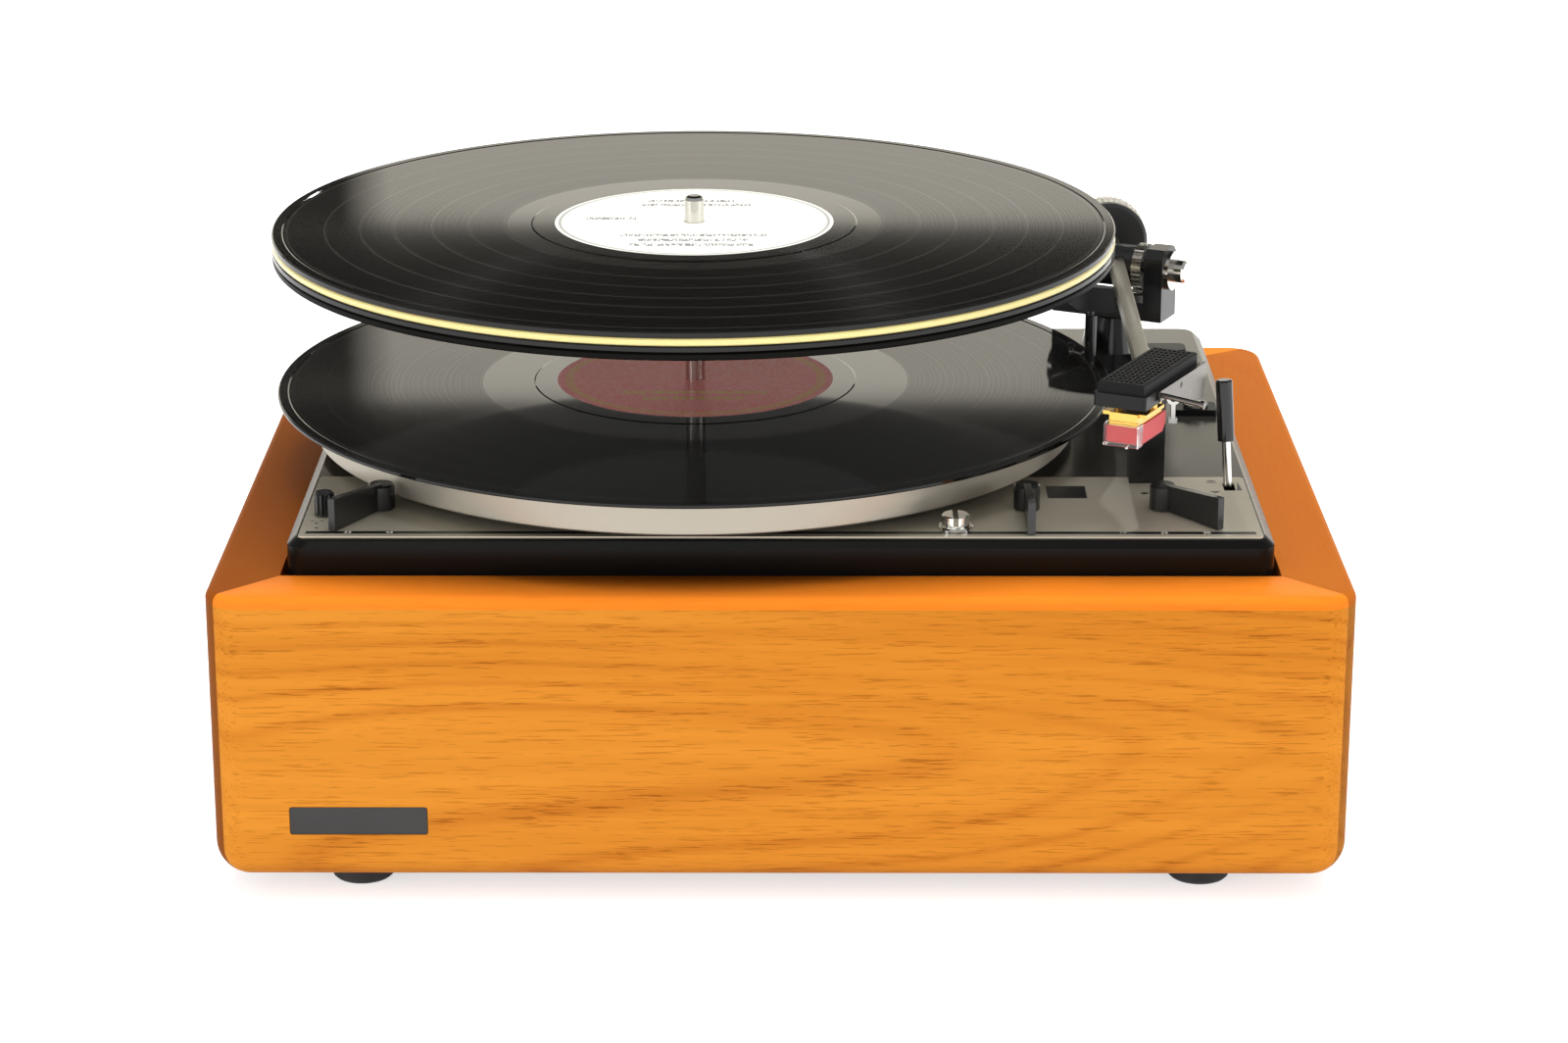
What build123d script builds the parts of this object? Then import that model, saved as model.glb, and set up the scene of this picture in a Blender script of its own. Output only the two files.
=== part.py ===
from build123d import *
import os
from math import cos, hypot, radians, sin, tan

# A record changer deck hung in a rounded wooden cabinet, with one record
# on the platter and a stack of four waiting on the changer spindle.
# Lengths are millimetres and angles are degrees. X runs to the right, Y to
# the back and Z up, and the origin is on the floor under the middle of the
# cabinet.

os.makedirs("parts", exist_ok=True)

# Driving sizes of the cabinet
record_radius = 150.8
cabinet_beside = 80.0
cabinet_beyond = 9.1
plinth_height = 101.6
front_wall = 23.3
side_wall = 23.3
back_wall = 15.0
corner_radius = 12.0
bottom_edge_radius = 12.0
top_edge_radius = 3.0
foot_height = 7.0
bottom_thickness = 6.0

# Driving sizes of the chassis and its control plate
deck_rise = 12.1
deck_thickness = 1.5
deck_corner_radius = 6.0
side_gap = 2.0
end_gap = 1.5
skirt_flare_side = 3.0
skirt_flare_end = 0.8
skirt_depth = 20.0
plate_thickness = 0.6
plate_inset = 1.1
plate_depth = 66.8
rail_thickness = 12.0
rail_width = 30.0
rail_drop = 28.6

# Driving sizes of the platter, the records and the changer spindle
spindle_left_in = 19.7
spindle_front_in = 20.0
platter_in = 13.2
platter_rise = 3.4
platter_height = 11.0
platter_web = 3.0
rim_thickness = 4.0
mat_thickness = 2.5
record_thickness = 1.7
stack_thickness = 2.45
stack_count = 4
drop_height = 48.7
label_radius = 50.0
label_thickness = 0.2
spindle_radius = 3.55
spindle_tip = 9.5
record_hole_radius = 3.63
running_gap = 0.05
moving_gap = 0.3

# Driving sizes of the drive under the platter
idler_radius = 25.0
idler_angle = 150.0
pulley_radius = 6.0
pulley_angle = -60.0

# Driving sizes of the tonearm, heights above the playing record
pivot_beside = 7.7
pivot_back_in = 65.8
bearing_height = 21.0
tube_height = 22.9
tube_side = 5.4
tube_toe_angle = 1.05
offset_angle = 25.5
rest_rise_angle = 1.4
lift_drop_angle = 2.64
stylus_overhang = 21.95
stylus_offset = 11.2
stylus_height = 4.35
head_length = 53.5
head_width = 18.6
lift_radius = 34.0
weight_radius = 15.0

# Driving places of the controls, measured from the deck's front corners
lever_row = 32.0
speed_lever_out = 6.4
speed_lever_at_angle = -136.7
pitch_knob_in = 7.6
pitch_knob_back = 24.3
size_lever_in = 32.3
start_lever_out = 14.2
start_lever_at_angle = -40.6
cue_lever_in = 6.8
cue_lever_back = 58.7
arm_rest_back = 60.5
screw_in = 103.8
screw_back = 10.5

# Levels and centres that follow from the driving sizes
plinth_width = 2 * record_radius + cabinet_beside
plinth_depth = 2 * record_radius + cabinet_beyond
platter_radius = record_radius - platter_in
plinth_top = foot_height + plinth_height
opening_width = plinth_width - 2 * side_wall
opening_front = front_wall - plinth_depth / 2
opening_back = plinth_depth / 2 - back_wall
opening_depth = opening_back - opening_front
deck_y = (opening_front + opening_back) / 2
deck_width = opening_width - 2 * side_gap - 2 * skirt_flare_side
deck_depth = opening_depth - 2 * end_gap - 2 * skirt_flare_end
deck_top = plinth_top + deck_rise
deck_bottom = deck_top - deck_thickness
deck_left = -deck_width / 2
deck_right = deck_width / 2
deck_front = deck_y - deck_depth / 2
deck_back = deck_y + deck_depth / 2
plate_top = deck_top + plate_thickness
plate_front = deck_front + plate_inset
rail_top = plinth_top - rail_drop
spindle_x = deck_left + record_radius - spindle_left_in
spindle_y = deck_front + record_radius - spindle_front_in
platter_bottom = deck_top + platter_rise
platter_top = platter_bottom + platter_height
mat_top = platter_top + mat_thickness
record_top = mat_top + record_thickness
stack_bottom = record_top + drop_height
stack_top = stack_bottom + stack_count * stack_thickness
spindle_top = stack_top + spindle_tip
pivot_x = spindle_x + record_radius + pivot_beside
pivot_back = record_radius - pivot_back_in
pivot_y = spindle_y + pivot_back
effective_length = hypot(pivot_x - spindle_x, pivot_back) + stylus_overhang
bearing_z = record_top + bearing_height
tube_z = record_top + tube_height
overrun = 1.0


def block(low, high):
    """A box between two opposite corners."""
    size = [b - a for a, b in zip(low, high)]
    middle = [(a + b) / 2 for a, b in zip(low, high)]
    return Pos(*middle) * Box(*size)


def rod(radius, bottom, top, at=(0, 0)):
    """An upright cylinder."""
    upright = (Align.CENTER, Align.CENTER, Align.MIN)
    return Pos(at[0], at[1], bottom) * Cylinder(radius, top - bottom, align=upright)


def turned(outline):
    """A solid turned about the Z axis from (radius, height) points."""
    line = Polyline(*[(r, 0, z) for r, z in outline], close=True)
    return revolve(make_face(line), Axis.Z)


def prism(points, bottom, top):
    """An upright solid over a plan of (x, y) points."""
    plan = make_face(Polyline(*[(x, y, 0) for x, y in points], close=True))
    return Pos(0, 0, bottom) * extrude(plan, top - bottom)


def along_x(shape):
    """A shape built up Z, laid along X."""
    return Rot(0, 90, 0) * shape


def along_y(shape):
    """A shape built up Z, laid along Y towards the back."""
    return Rot(-90, 0, 0) * shape


def polar(radius, angle, centre=(0, 0)):
    """A point at a distance and an angle from a centre."""
    turn = radians(angle)
    return centre[0] + radius * cos(turn), centre[1] + radius * sin(turn)


def knurls(radius, count, depth, low, high):
    """V notches spaced round a rim, as one cutter."""
    notch = Pos(radius, 0, 0) * RegularPolygon(depth, 4)
    notches = [Rot(0, 0, step * 360 / count) * notch for step in range(count)]
    return Pos(0, 0, low) * extrude(Sketch(children=notches), high - low)


def save(node, *solids):
    """Write one node, as one solid or as a group of separate solids."""
    shape = solids[0] if len(solids) == 1 else Compound(children=list(solids))
    export_step(shape, f"parts/{node}.step")


# The cabinet


def plinth_shell():
    """The four walls in one piece, before the mitres part them."""
    outer = Rectangle(plinth_width, plinth_depth)
    body = extrude(fillet(outer.vertices(), corner_radius), plinth_height)
    body = fillet(body.edges().group_by(Axis.Z)[0], bottom_edge_radius)
    body = fillet(body.edges().group_by(Axis.Z)[-1], top_edge_radius)
    body = Pos(0, 0, foot_height) * body
    half = opening_width / 2
    low = (-half, opening_front, foot_height - overrun)
    high = (half, opening_back, plinth_top + overrun)
    return body - block(low, high)


def save_plinth():
    """Four mitred boards, with the two cord outlets in the back one."""
    shell = plinth_shell()
    wide, deep, half = plinth_width / 2, plinth_depth / 2, opening_width / 2
    outer = [(-wide, -deep), (wide, -deep), (wide, deep), (-wide, deep)]
    inner = [
        (-half, opening_front),
        (half, opening_front),
        (half, opening_back),
        (-half, opening_back),
    ]
    for side, node in enumerate(("plinth_front", "plinth_right", "plinth_back", "plinth_left")):
        after = (side + 1) % len(outer)
        wedge = [outer[side], outer[after], inner[after], inner[side]]
        board = shell & prism(wedge, 0, plinth_top + overrun)
        if node == "plinth_back":
            for place in outlet_places():
                board -= outlet_cutter(place)
        save(node, board)


outlet_radius = 8.0
outlet_bore = 3.5
outlet_lip = 2.0
outlet_lip_radius = 10.5
outlet_height = 24.0
outlet_places_share = (0.12, 0.22)


def outlet_places():
    """Where the mains lead and the signal lead leave, along X."""
    return [share * plinth_width for share in outlet_places_share]


def outlet_cutter(place):
    """The hole through the back board that holds one grommet."""
    z = foot_height + outlet_height
    stem = along_y(rod(outlet_radius, 0, back_wall + 2 * overrun))
    return Pos(place, opening_back - overrun, z) * stem


def outlet_grommet(place):
    """A rubber bush with a lip inside the cabinet, flush outside."""
    z = foot_height + outlet_height
    outline = [
        (outlet_bore, -outlet_lip),
        (outlet_lip_radius, -outlet_lip),
        (outlet_lip_radius, 0),
        (outlet_radius, 0),
        (outlet_radius, back_wall),
        (outlet_bore, back_wall),
    ]
    return Pos(place, opening_back, z) * along_y(turned(outline))


foot_in_x = 47.8
foot_in_y = 26.0
foot_radius = 10.5
foot_waist = 9.2
foot_recess_radius = 5.0
foot_recess_depth = 3.0
foot_screw_radius = 2.0
foot_screw_head = 4.2
foot_screw_head_height = 2.0


def foot_places():
    """The four feet's centres."""
    x, y = plinth_width / 2 - foot_in_x, plinth_depth / 2 - foot_in_y
    return [(-x, -y), (x, -y), (x, y), (-x, y)]


def save_feet():
    """Rubber feet, and the screws that hold them to the bottom board."""
    outline = [
        (foot_recess_radius, 0),
        (foot_radius - foot_height / 8, 0),
        (foot_radius, foot_height / 8),
        (foot_waist, foot_height),
        (foot_screw_radius, foot_height),
        (foot_screw_radius, foot_recess_depth),
        (foot_recess_radius, foot_recess_depth),
    ]
    seat = foot_recess_depth
    screw_outline = [
        (0, seat - foot_screw_head_height),
        (foot_screw_head, seat - foot_screw_head_height),
        (foot_screw_head, seat),
        (foot_screw_radius, seat),
        (foot_screw_radius, foot_height + bottom_thickness - overrun),
        (0, foot_height + bottom_thickness - overrun),
    ]
    places = foot_places()
    save("rubber_feet", *[Pos(x, y, 0) * turned(outline) for x, y in places])
    save("foot_screws", *[Pos(x, y, 0) * turned(screw_outline) for x, y in places])


def save_bottom():
    """The bottom board, let in between the walls."""
    half = opening_width / 2
    top = foot_height + bottom_thickness
    board = block((-half, opening_front, foot_height), (half, opening_back, top))
    for place in foot_places():
        board -= rod(foot_screw_radius, foot_height - overrun, top + overrun, place)
    save("bottom_board", board)


def save_rails():
    """Front and rear rails inside the cabinet that carry the chassis."""
    half = opening_width / 2
    bottom = rail_top - rail_thickness
    front = block(
        (-half, opening_front, bottom), (half, opening_front + rail_width, rail_top)
    )
    back = block(
        (-half, opening_back - rail_width, bottom), (half, opening_back, rail_top)
    )
    hole = transport_radius + transport_clearance
    for x, y in transport_places():
        cutter = rod(hole, bottom - overrun, rail_top + overrun, (x, y))
        front, back = front - cutter, back - cutter
    save("mounting_rails", front, back)


damper_in_x = 56.5
damper_radius = 9.0
damper_waist = 6.5
damper_rib_share = (0.0, 0.25, 0.5, 0.75, 1.0)


def damper_places():
    """The centres of the four suspension dampers, on the rails' middles."""
    x = deck_width / 2 - damper_in_x
    front = opening_front + rail_width / 2
    back = opening_back - rail_width / 2
    return [(-x, front), (x, front), (x, back), (-x, back)]


def save_dampers():
    """Ribbed rubber dampers between the rails and the deck."""
    tall = deck_bottom - rail_top
    outline = [(0, 0)]
    for step, share in enumerate(damper_rib_share):
        wide = damper_waist if step % 2 else damper_radius
        outline.append((wide, share * tall))
    outline.append((0, tall))
    solid = turned(outline)
    save("suspension_dampers", *[Pos(x, y, rail_top) * solid for x, y in damper_places()])


# The chassis and its control plate


def pan_body(shrink, bottom, top):
    """The deck's outline with its sloping shoulder and skirt, drawn in by shrink."""
    wide, deep = deck_width - 2 * shrink, deck_depth - 2 * shrink
    shoulder = top - skirt_flare_side
    low_wide, low_deep = wide + 2 * skirt_flare_side, deep + 2 * skirt_flare_end
    radius = deck_corner_radius - shrink
    upper = Pos(0, deck_y, top) * RectangleRounded(wide, deep, radius)
    lower = Pos(0, deck_y, shoulder) * RectangleRounded(low_wide, low_deep, radius)
    skirt = Pos(0, deck_y, bottom) * RectangleRounded(low_wide, low_deep, radius)
    return loft([lower, upper], ruled=True) + extrude(skirt, shoulder - bottom)


def save_deck():
    """The pressed chassis pan, with every hole in its top."""
    bottom = deck_top - skirt_depth
    pan = pan_body(0, bottom, deck_top)
    pan = fillet(pan.edges().group_by(Axis.Z)[-1], deck_edge_radius)
    pan -= pan_body(deck_thickness, bottom - overrun, deck_bottom)
    for cutter in deck_cutters():
        pan -= cutter
    save("chassis_pan", pan)


deck_edge_radius = 1.0
plate_corner_radius = 2.0


def save_plate():
    """The brushed control plate along the front of the deck."""
    wide = deck_width - 2 * plate_inset
    middle = plate_front + plate_depth / 2
    outline = Pos(0, middle, deck_top) * RectangleRounded(wide, plate_depth, plate_corner_radius)
    plate = extrude(outline, plate_thickness)
    for cutter in deck_cutters():
        plate -= cutter
    front, back = rest_span()
    half = rest_width / 2
    plate -= block((pivot_x - half, front, deck_top - overrun), (pivot_x + half, back, plate_top + overrun))
    save("control_plate", plate)


spot_hole_radius = 1.6
spot_hole_in = 37.0
spot_hole_back = 49.8


def deck_cutters():
    """Every hole through the deck, and through the plate where it covers it."""
    bottom, top = deck_bottom - overrun, plate_top + overrun
    holes = [
        (post_radius, (spindle_x, spindle_y)),
        (idler_shaft_radius + idler_travel, idler_place()),
        (motor_hole_radius, pulley_place()),
        (column_stem_radius, (pivot_x, pivot_y)),
        (lever_shaft_radius + running_gap, speed_lever_place()),
        (lever_shaft_radius + running_gap, start_lever_place()),
        (lever_shaft_radius + running_gap, size_lever_place()),
        (knob_shaft_radius + running_gap, pitch_knob_place()),
        (spot_hole_radius, (deck_right - spot_hole_in, deck_front + spot_hole_back)),
    ]
    holes += [(transport_radius + running_gap, place) for place in transport_places()]
    cutters = [rod(radius, bottom, top, place) for radius, place in holes]
    x, y = cue_lever_place()
    half = cue_rod_radius + moving_gap
    reach = cue_depth * tan(radians(cue_throw_angle)) + half
    aside = half + cue_depth * sin(radians(cue_side_angle)) / cos(radians(cue_throw_angle))
    low = (x - aside, y - reach - moving_gap, bottom)
    high = (x + half, y + half + moving_gap, top)
    return cutters + [block(low, high)]


transport_radius = 2.5
transport_clearance = 1.5
transport_flange = 6.0
transport_flange_height = 1.2
transport_head = 4.7
transport_head_height = 3.8
transport_slot = 1.8
transport_slot_depth = 3.2
transport_length = 46.0
transport_back_in = 23.0


def transport_places():
    """The front right and rear left transport screws."""
    front = (deck_right - screw_in, deck_front + screw_back)
    back = (deck_left + transport_back_in, deck_back - screw_back)
    return [front, back]


def save_transport_screws():
    """Slotted chrome screws that lock the chassis for carriage."""
    solids = []
    for seat, (x, y) in zip((plate_top, deck_top), transport_places()):
        flange = seat + transport_flange_height
        head = flange + transport_head_height
        screw = turned(
            [
                (0, seat - transport_length),
                (transport_radius, seat - transport_length),
                (transport_radius, seat),
                (transport_flange, seat),
                (transport_flange, flange - transport_flange_height / 3),
                (transport_flange - transport_flange_height / 3, flange),
                (transport_head, flange),
                (transport_head, head - transport_flange_height / 3),
                (transport_head - transport_flange_height / 3, head),
                (0, head),
            ]
        )
        half, deep = transport_slot / 2, transport_head + overrun
        screw -= block((-half, -deep, head - transport_slot_depth), (half, deep, head + overrun))
        solids.append(Pos(x, y, 0) * screw)
    save("transport_screws", *solids)


# The platter, its bearing and the records

post_radius = 8.0
post_flange = 20.0
post_flange_height = 1.2
post_drop = 24.0
race_inner = 9.0
race_outer = 13.0
race_height = 1.6
hub_radius = 16.0
web_taper = 0.6


def save_bearing():
    """The fixed post that the platter turns on, and its thrust race."""
    flange = deck_top + post_flange_height
    outline = [
        (spindle_radius, deck_bottom - post_drop),
        (post_radius, deck_bottom - post_drop),
        (post_radius, deck_top),
        (post_flange, deck_top),
        (post_flange, flange),
        (post_radius, flange),
        (post_radius, platter_top - overrun),
        (spindle_radius, platter_top - overrun),
    ]
    post = Pos(spindle_x, spindle_y, 0) * turned(outline)
    save("bearing_post", post)
    race = rod(race_outer, flange, flange + race_height)
    race -= rod(race_inner, flange - overrun, flange + race_height + overrun)
    save("thrust_race", Pos(spindle_x, spindle_y, 0) * race)


def save_platter():
    """The platter: the hub and web, and the heavy rim shrunk on round them."""
    hub_bottom = deck_top + post_flange_height + race_height + moving_gap
    under = platter_top - platter_web
    inner = platter_radius - rim_thickness
    bore = post_radius + running_gap
    outline = [
        (bore, hub_bottom),
        (hub_radius, hub_bottom),
        (hub_radius, under),
        (inner, under),
        (inner, platter_top),
        (bore, platter_top),
    ]
    rim = [
        (inner, platter_bottom),
        (platter_radius - web_taper, platter_bottom),
        (platter_radius, platter_bottom + web_taper),
        (platter_radius, platter_top - web_taper),
        (platter_radius - web_taper, platter_top),
        (inner, platter_top),
    ]
    centre = Pos(spindle_x, spindle_y, 0)
    save("platter", centre * turned(outline))
    save("platter_rim", centre * turned(rim))


mat_edge_in = 2.0
mat_hole_radius = 12.0
mat_ring_share = (0.5, 0.88)
mat_ring_width = 1.6
mat_ring_depth = 0.6


def save_mat():
    """The ribbed rubber mat."""
    wide = platter_radius - mat_edge_in
    mat = rod(wide, platter_top, mat_top)
    mat -= rod(mat_hole_radius, platter_top - overrun, mat_top + overrun)
    for share in mat_ring_share:
        radius = share * wide
        groove = rod(radius + mat_ring_width, mat_top - mat_ring_depth, mat_top + overrun)
        groove -= rod(radius, platter_top, mat_top + 2 * overrun)
        mat -= groove
    save("platter_mat", Pos(spindle_x, spindle_y, 0) * mat)


bead_width = 4.0
bead_round = 0.5
groove_sink = 0.2
groove_end = 58.0


def record_disc(bottom, thickness, labelled):
    """A pressed record with a raised bead and a sunk band of grooves."""
    top = bottom + thickness
    seat = top - label_thickness if labelled else top
    band_out = record_radius - bead_width
    outline = [
        (record_hole_radius, bottom),
        (groove_end, bottom),
        (groove_end + bead_round, bottom + groove_sink),
        (band_out, bottom + groove_sink),
        (band_out + bead_round, bottom),
        (record_radius - bead_round, bottom),
        (record_radius, bottom + bead_round),
        (record_radius, top - bead_round),
        (record_radius - bead_round, top),
        (band_out + bead_round, top),
        (band_out, top - groove_sink),
        (groove_end + bead_round, top - groove_sink),
        (groove_end, top),
        (label_radius, top),
        (label_radius, seat),
        (record_hole_radius, seat),
    ]
    if not labelled:
        outline = outline[:-3] + [(record_hole_radius, top)]
    return Pos(spindle_x, spindle_y, 0) * turned(outline)


def record_label(top):
    """The paper label, let into the record's face."""
    disc = rod(label_radius, top - label_thickness, top)
    disc -= rod(record_hole_radius, top - 2 * overrun, top + overrun)
    return Pos(spindle_x, spindle_y, 0) * disc


def save_records():
    """The record being played and the stack that waits above it."""
    save("playing_record", record_disc(mat_top, record_thickness, True))
    save("playing_label", record_label(record_top))
    for place in range(stack_count):
        bottom = stack_bottom + place * stack_thickness
        last = place == stack_count - 1
        save(f"stack_record_{place + 1}", record_disc(bottom, stack_thickness, last))
    save("stack_label", record_label(stack_top))


support_count = 3
support_reach = 3.0
support_width = 1.8
support_height = 2.4
support_angle = 90.0
tip_round = 1.6


def save_spindle():
    """The changer spindle, and the three arms that hold the stack up."""
    stem = spindle_radius - running_gap
    outline = [
        (0, deck_bottom - post_drop),
        (stem, deck_bottom - post_drop),
        (stem, spindle_top - tip_round),
        (stem - tip_round / 3, spindle_top - tip_round / 3),
        (stem - tip_round, spindle_top),
        (0, spindle_top),
    ]
    arms = []
    top = stack_bottom - moving_gap
    centre = Pos(spindle_x, spindle_y, 0)
    for step in range(support_count):
        angle = support_angle + step * 360 / support_count
        side = [(0, top - support_height), (stem + support_reach, top - support_height / 3)]
        side += [(stem + support_reach, top), (0, top)]
        face = make_face(Polyline(*[(x, 0, z) for x, z in side], close=True))
        arm = extrude(face, support_width / 2, both=True)
        arm -= rod(stem, top - 2 * support_height, top + overrun)
        arms.append(centre * Rot(0, 0, angle) * arm)
    save("changer_spindle", centre * turned(outline), *arms)


# The drive under the platter

idler_shaft_radius = 3.0
idler_travel = 3.2
idler_lift = 1.0
idler_height = 4.0
idler_hub_radius = 19.0
idler_boss_radius = 7.0
idler_arm_thickness = 2.0
idler_arm_drop = 4.0
idler_arm_width = 16.0
idler_pivot_reach = 35.0
idler_arm_angle = 135.5
idler_pivot_radius = 3.5
pulley_lift = 1.4
pulley_height = 8.6
motor_hole_radius = 8.5
motor_shaft_radius = 2.0
motor_wide = 60.0
motor_deep = 52.0
motor_stack = 22.0
motor_bell_radius = 22.0
motor_bell_height = 8.0
motor_drop = 12.0
grommet_radius = 4.5
grommet_in = 7.0


def idler_place():
    """The idler's axis, one running gap inside the platter's rim."""
    reach = platter_radius - rim_thickness - idler_radius - moving_gap
    return polar(reach, idler_angle, (spindle_x, spindle_y))


def pulley_place():
    """The motor's axis, one running gap from the idler."""
    return polar(idler_radius + pulley_radius + moving_gap, pulley_angle, idler_place())


def idler_pivot_place():
    """The stud that the idler arm swings on."""
    return polar(idler_pivot_reach, idler_arm_angle, idler_place())


def save_idler():
    """The idler wheel, its rubber tyre and the arm that swings it in."""
    x, y = idler_place()
    bottom = platter_bottom + idler_lift
    top = bottom + idler_height
    low = deck_bottom - idler_arm_drop
    tyre = rod(idler_radius, bottom, top) - rod(idler_hub_radius, bottom - overrun, top + overrun)
    save("idler_tyre", Pos(x, y, 0) * tyre)
    bore = idler_shaft_radius / 2
    hub = rod(idler_hub_radius, bottom, top) - rod(bore, bottom - overrun, top + overrun)
    ring = rod(idler_hub_radius - idler_height / 2, top - idler_height / 4, top + overrun)
    ring -= rod(idler_boss_radius, bottom, top + 2 * overrun)
    save("idler_hub", Pos(x, y, 0) * (hub - ring))
    pivot = idler_pivot_place()
    floor = low - idler_arm_thickness
    axle = rod(idler_shaft_radius, low, bottom - moving_gap, (x, y))
    axle += rod(bore - running_gap, bottom - moving_gap, top + moving_gap, (x, y))
    link = SlotCenterToCenter(idler_pivot_reach, idler_arm_width)
    plate = Pos(0, 0, floor) * extrude(link, idler_arm_thickness)
    middle = ((x + pivot[0]) / 2, (y + pivot[1]) / 2)
    arm = Pos(middle[0], middle[1], 0) * Rot(0, 0, idler_arm_angle) * plate
    arm -= rod(idler_pivot_radius + running_gap, floor - overrun, low + overrun, pivot)
    save("idler_arm", arm + axle)


def idler_stud():
    """The headed stud under the deck that the idler arm swings on."""
    pivot = idler_pivot_place()
    head = deck_bottom - idler_arm_drop - idler_arm_thickness - moving_gap
    stud = rod(idler_pivot_radius, head, deck_bottom, pivot)
    return stud + rod(2 * idler_pivot_radius, head - idler_arm_thickness, head, pivot)


def save_motor():
    """The motor, its pulley and the grommets that hang it from the deck."""
    x, y = pulley_place()
    place = Pos(x, y, 0)
    top = deck_bottom - motor_drop
    floor = top - motor_stack
    wide, deep = motor_wide / 2, motor_deep / 2
    stack = block((-wide, -deep, floor), (wide, deep, top))
    stack = chamfer(stack.edges().filter_by(Axis.Z), grommet_in / 2)
    bell = rod(motor_bell_radius, floor - motor_bell_height, floor)
    bell += rod(motor_bell_radius, top, top + motor_bell_height / 2)
    bell -= rod(motor_shaft_radius + running_gap, floor - motor_bell_height + overrun, deck_top)
    stack -= rod(motor_shaft_radius + running_gap, floor - overrun, deck_top)
    save("motor_body", place * (stack + bell))
    start = platter_bottom - platter_rise + pulley_lift
    tip = start + pulley_height
    waist = pulley_radius - idler_shaft_radius / 2
    contact = platter_bottom + idler_lift - moving_gap
    rotor = turned(
        [
            (0, floor),
            (motor_shaft_radius, floor),
            (motor_shaft_radius, start),
            (waist, start),
            (waist, contact),
            (pulley_radius, contact),
            (pulley_radius, tip),
            (0, tip),
        ]
    )
    save("motor_pulley", place * rotor)
    ears = [(-wide + grommet_in, -deep + grommet_in), (wide - grommet_in, -deep + grommet_in)]
    ears += [(wide - grommet_in, deep - grommet_in)]
    posts = [place * rod(grommet_radius, top, deck_bottom, ear) for ear in ears]
    save("rubber_grommets", *posts, *[outlet_grommet(spot) for spot in outlet_places()])


cam_right = 42.0
cam_back = 34.0
cam_radius = 36.0
cam_height = 5.0
cam_drop = 9.0
cam_stud_radius = 4.0
cam_tooth_count = 48
cam_tooth_depth = 1.8
cam_track_in = 9.0
cam_track_width = 3.0
cam_track_offset = 3.0


def cam_place():
    """The axis of the cycle cam, under the deck beside the bearing."""
    return spindle_x + cam_right, spindle_y + cam_back


def save_cam():
    """The toothed cam that runs the change cycle, and its stud."""
    top = deck_bottom - cam_drop
    bottom = top - cam_height
    disc = rod(cam_radius, bottom, top)
    pitch = 360 / cam_tooth_count
    gap = cam_tooth_depth
    notch = block((-gap / 2, -gap, bottom - overrun), (gap / 2, gap, top + overrun))
    for step in range(cam_tooth_count):
        x, y = polar(cam_radius, step * pitch)
        disc -= Pos(x, y, 0) * Rot(0, 0, step * pitch + 90) * notch
    track = rod(cam_radius - cam_track_in, bottom - overrun, bottom + cam_height / 2)
    inner = cam_radius - cam_track_in - cam_track_width
    track -= rod(inner, bottom - 2 * overrun, top)
    disc -= Pos(cam_track_offset, 0, 0) * track
    disc -= rod(cam_stud_radius + running_gap, bottom - overrun, top + overrun)
    x, y = cam_place()
    save("cycle_cam", Pos(x, y, 0) * disc)


def cam_stud():
    """The stepped stud under the deck that the cam turns on."""
    top = deck_bottom - cam_drop
    head = top - cam_height - moving_gap
    stud = rod(cam_stud_radius, head, deck_bottom)
    stud += rod(2 * cam_stud_radius, head - cam_height / 2, head)
    stud += rod(2 * cam_stud_radius, top + moving_gap, deck_bottom)
    x, y = cam_place()
    return Pos(x, y, 0) * stud


def save_fixings():
    """The studs and the nut under the deck, as one group of fasteners."""
    nut = extrude(RegularPolygon(2 * column_stem_radius, 6), -column_nut_height)
    nut -= rod(column_stem_radius, -column_nut_height - overrun, overrun)
    nut = Pos(pivot_x, pivot_y, deck_bottom) * nut
    save("under_deck_fixings", idler_stud(), cam_stud(), nut)


# The levers and knobs on the control plate

lever_shaft_radius = 2.5
lever_shaft_drop = 9.0
lever_boss_radius = 4.5
lever_boss_height = 8.6
lever_length = 29.5
lever_blade = 2.6
lever_height = 11.0
lever_circlip = 4.0
knob_shaft_radius = 1.5
pitch_knob_radius = 3.4
pitch_knob_height = 8.0
pitch_knob_flute_count = 12
speed_lever_angle = -29.0
size_lever_angle = 36.0


def speed_lever_place():
    """The speed lever's pivot, at the left."""
    return polar(platter_radius + speed_lever_out, speed_lever_at_angle, (spindle_x, spindle_y))


def start_lever_place():
    """The start and stop lever's pivot."""
    return polar(platter_radius + start_lever_out, start_lever_at_angle, (spindle_x, spindle_y))


def size_lever_place():
    """The record size lever's pivot, at the right."""
    return deck_right - size_lever_in, deck_front + lever_row


def pitch_knob_place():
    """The pitch knob's axis, left of the speed lever."""
    return deck_left + pitch_knob_in, deck_front + pitch_knob_back


def lever(place, turn):
    """A bladed lever: a shaft through the deck, a boss and a long thin fin."""
    floor = plate_top + moving_gap
    half = lever_blade / 2
    boss_top = floor + lever_boss_height
    body = rod(lever_boss_radius, floor, boss_top)
    body = chamfer(body.edges().group_by(Axis.Z)[-1], half / 2)
    tip = -lever_length
    side = [(0, floor), (tip, floor), (tip, floor + lever_height)]
    side += [(tip + lever_blade, floor + lever_height), (0, boss_top)]
    fin = make_face(Polyline(*[(0, y, z) for y, z in side], close=True))
    body += extrude(fin, half, both=True)
    body += rod(lever_shaft_radius, deck_bottom - lever_shaft_drop, floor)
    return Pos(place[0], place[1], 0) * Rot(0, 0, turn) * body


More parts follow.
